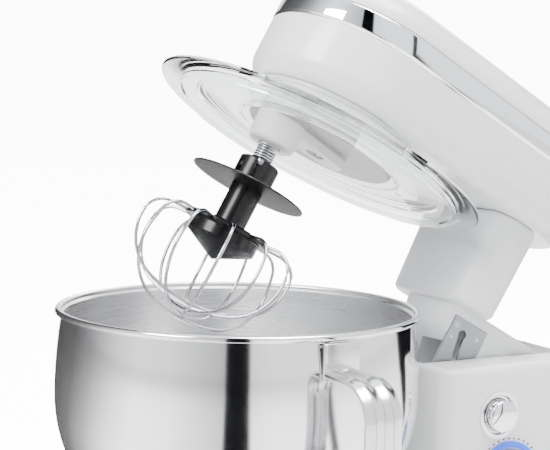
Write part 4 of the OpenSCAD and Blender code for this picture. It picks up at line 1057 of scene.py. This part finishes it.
# %% Spin the guard and its pegs
guard_r = (guard_box[1].x - guard_box[0].x) / 2
skirt_h = 4.5 * MM
gz0 = guard_box[0].z + skirt_h
gt = 2 * MM
skirt_r = 101.5 * MM
rib_r = 88 * MM
collar_in = 56.3 * MM
gtop = guard_box[1].z
guard_line = [(collar_in, gz0), (skirt_r - gt, gz0), (skirt_r - gt, gz0 - skirt_h), (skirt_r, gz0 - skirt_h),
              (skirt_r, gz0), (guard_r - 0.8 * MM, gz0), (guard_r, gz0 + 0.8 * MM), (guard_r, gz0 + gt),
              (guard_r - 1.4 * MM, gz0 + gt), (rib_r + gt, gz0 + gt),
              (rib_r + gt - 0.5 * MM, gz0 + gt + 3 * MM),
              (rib_r + 0.5 * MM, gz0 + gt + 3 * MM), (rib_r, gz0 + gt), (collar_in + 2.6 * MM, gz0 + gt),
              (collar_in + 2.6 * MM, gtop), (collar_in, gtop)]
guard = lathe("splash_guard_plate", guard_line, 128)
soften(guard, 0.4 * MM, 2, 40)
place(guard, clear, "guard", "splash_guard", on_head=True)
peg = lathe("guard_peg.001", [(0.0, gz0 + 1.95 * MM), (2.5 * MM, gz0 + 1.95 * MM), (2.2 * MM, gz0 + 9.6 * MM),
                              (1.6 * MM, gz0 + 10 * MM), (0.0, gz0 + 10 * MM)], 24)
smooth(peg)
pegs = [peg] + [copy(peg, "guard_peg.%03d" % (i + 1), Matrix.Identity(4)) for i in (1, 2)]
for i, piece in enumerate(pegs):
    turn = Matrix.Rotation(math.radians(120 * i + 75), 4, "Z")
    move(piece, turn @ Matrix.Translation((collar_in + 7.6 * MM, 0, 0)))
    place(piece, clear, "guard", on_head=True)

# %% [markdown]
# ## Finishes for the parts that stay as they are
# The bare nodes that nothing replaces get their finish straight in their material
# slots: the gears, shafts, bearings, motor, switch and screws inside, and the small
# flat parts that need no remodelling.

# %% Finish the remaining parts
finishes = {
    "bottom_cover": black_plastic, "rubber_feet": rubber, "bottom_screws": plain_steel,
    "bowl_seat": neck_white, "seat_screws": plain_steel, "dial_tick_ring": ink,
    "speed_switch": black_plastic, "circuit_board": board_green, "board_screws": plain_steel,
    "hinge_pin": plain_steel, "hinge_pin_clips": plain_steel, "cord_inlet": black_plastic,
    "head_bumper": rubber, "latch_plate": plate_steel, "button_spring": wire_steel,
    "hinge_bushes": bronze, "lock_plate": plate_steel, "lock_plate_rivets": plain_steel,
    "gearbox_frame": cast_grey, "ring_gear": plain_steel, "guard_mount_ring": neck_white,
    "main_bearings": plain_steel, "counter_bushes": bronze, "motor_housing": cast_grey,
    "motor_bearings": plain_steel, "motor_screws": plain_steel, "drive_belt": rubber,
    "neck_screws": plain_steel, "motor_rotor": copper, "motor_pulley": plain_steel,
    "cooling_fan": black_plastic, "driven_pulley": boss_white, "countershaft": plain_steel,
    "main_shaft": plain_steel, "main_gear": boss_white, "planet_gear": plain_steel,
    "cross_pin": wire_steel, "spring_washer": plain_steel,
}
for name, material in finishes.items():
    nodes[name].data.materials.clear()
    nodes[name].data.materials.append(material)
print("finished", len(finishes), "bare parts")

# %% [markdown]
# ## Room, light and camera
# A pale floor in a pale room and three soft lights. The floor and the room are bright
# where the camera sees them straight, and calmer where they light the mixer.

# %% The floor
deselect()
bpy.ops.mesh.primitive_plane_add(size=12, location=(0, 0, 0))
floor = bpy.context.object
floor.name = "floor"
table = finish("pale table", (0.9, 0.9, 0.895), (0.9, 0.9, 0.9), 0.6, patches=3, grain=200, bump=0.05)


def strength_by_ray(tree, direct, glossy, through, other):
    """A strength that differs by how it is met: seen directly, in a reflection,
    through clear plastic, or as plain light on a surface."""
    rays = node(tree, "LightPath").outputs
    total = other
    for ray, value in (("Is Camera Ray", direct), ("Is Glossy Ray", glossy), ("Is Transmission Ray", through)):
        total = calculate(tree, "MULTIPLY_ADD", rays[ray], value - other, total)
    return total


table_shader = shader_inputs(table)
table_shader["Emission Color"].default_value = (1, 1, 1, 1)
table_glow = strength_by_ray(table.node_tree, 12.0, 0.9, 1.2, 0.0)
feed(table.node_tree, table_shader["Emission Strength"], table_glow)
floor.data.materials.append(table)

# %% [markdown]
# Polished steel shows what stands round it. A ring of floor and wall round the mixer is seen by
# reflections only, and its colour is a painted reflection. It is clear where the studio is bright and
# painted dark where the steel should show a dark reflection, by the compass angle from the nose of the mixer
# towards its controls.

# %% The painted reflection that the steel shows
# painted reflection: a black sheet that only reflections see, clear in some sectors and dark in others to put
# dark reflections on the steel
painted_reflection_black = finish("painted_reflection_surround", (0.004, 0.004, 0.005), (0.006, 0.006, 0.006), 0.9, patches=4)
tree, shader = painted_reflection_black.node_tree, shader_inputs(painted_reflection_black)
shader["Specular IOR Level"].default_value = 0
round_z = node(tree, "TexGradient", gradient_type="RADIAL")
feed(tree, round_z.inputs["Vector"], node(tree, "TexCoord").outputs["Object"])
ramp = node(tree, "ValToRGB")
feed(tree, ramp.inputs["Fac"], round_z.outputs["Fac"])
feed(tree, shader["Alpha"], ramp.outputs["Color"])
# compass angle in degrees and how dark the painted reflection is there, from -90 round to 270
painted_reflection_tones = [(-90, 0.8), (-55, 0.7), (-36, 0.52), (-12, 0.15), (4, 0.0), (24, 0.06), (56.5, 0.35),
           (57.5, 1.0), (70, 1.0), (71, 0.1), (84, 0.0), (115, 0.0), (116, 0.8), (120, 0.8), (121, 0.0),
           (178, 0.0), (180, 1.0), (204, 1.0), (206, 0.0), (262, 0.0), (270, 0.8)]
painted_reflection_stops = ramp.color_ramp.elements
for i, (compass, dark) in enumerate(painted_reflection_tones):
    turn = compass / 360 + 0.25
    element = painted_reflection_stops[i] if i < 2 else painted_reflection_stops.new(turn)
    element.position = turn
    element.color = (dark, dark, dark, 1)
# the painted reflection sheet: a floor ring and a wall, hidden from the camera, shadows, diffuse light and
# light through clear plastic
painted_reflection_surround = lathe("painted_reflection_surround", [(0.16, 0.001), (1.6, 0.001), (1.6, 2.6), (1.61, 2.6), (1.61, 0.0005),
                              (0.16, 0.0005)], 128)
painted_reflection_surround.data.materials.append(painted_reflection_black)
for rays in ("camera", "shadow", "diffuse", "transmission"):
    setattr(painted_reflection_surround, "visible_" + rays, False)
print("surround with", len(painted_reflection_tones), "tones")


# %% Lights and world
def lamp(name, spot, size, power, aim=(0, 0.05, 0.2)):
    deselect()
    bpy.ops.object.light_add(type="AREA", location=spot)
    light = bpy.context.object
    light.name = name
    light.data.shape = "RECTANGLE"
    light.data.size = size[0]
    light.data.size_y = size[1]
    light.data.energy = power
    light.rotation_euler = (Vector(spot) - Vector(aim)).to_track_quat("Z", "Y").to_euler()


lamp("soft light front", (0.35, -1.3, 1.3), (0.7, 0.7), 44)
lamp("soft light top", (0.5, 0.3, 1.7), (0.9, 0.9), 62)
lamp("soft light back", (-1.0, 0.9, 1.2), (0.8, 0.8), 20)

world = bpy.data.worlds.new("studio")
bpy.context.scene.world = world
world.use_nodes = True
sky = world.node_tree.nodes["Background"]
sky.inputs["Color"].default_value = (0.97, 0.985, 1.0, 1)
sky_glow = strength_by_ray(world.node_tree, 12.0, 2.1, 1.8, 0.62)
feed(world.node_tree, sky.inputs["Strength"], sky_glow)

# %% Camera
cam_at = Vector((0.7275, -0.3585, 0.3123))
azimuth, rise, roll = math.radians(62.2), math.radians(4.9), math.radians(1.3)
back_dir = Vector((math.sin(azimuth) * math.cos(rise), -math.cos(azimuth) * math.cos(rise), math.sin(rise)))
bpy.ops.object.camera_add(location=cam_at)
camera = bpy.context.object
camera.data.sensor_width = 36
camera.data.lens = 82.5
camera.data.clip_start = 0.01
camera.rotation_euler = ((-back_dir).to_track_quat("-Z", "Y").to_matrix().to_4x4()
                         @ Matrix.Rotation(roll, 4, "Z")).to_euler()
bpy.context.scene.camera = camera
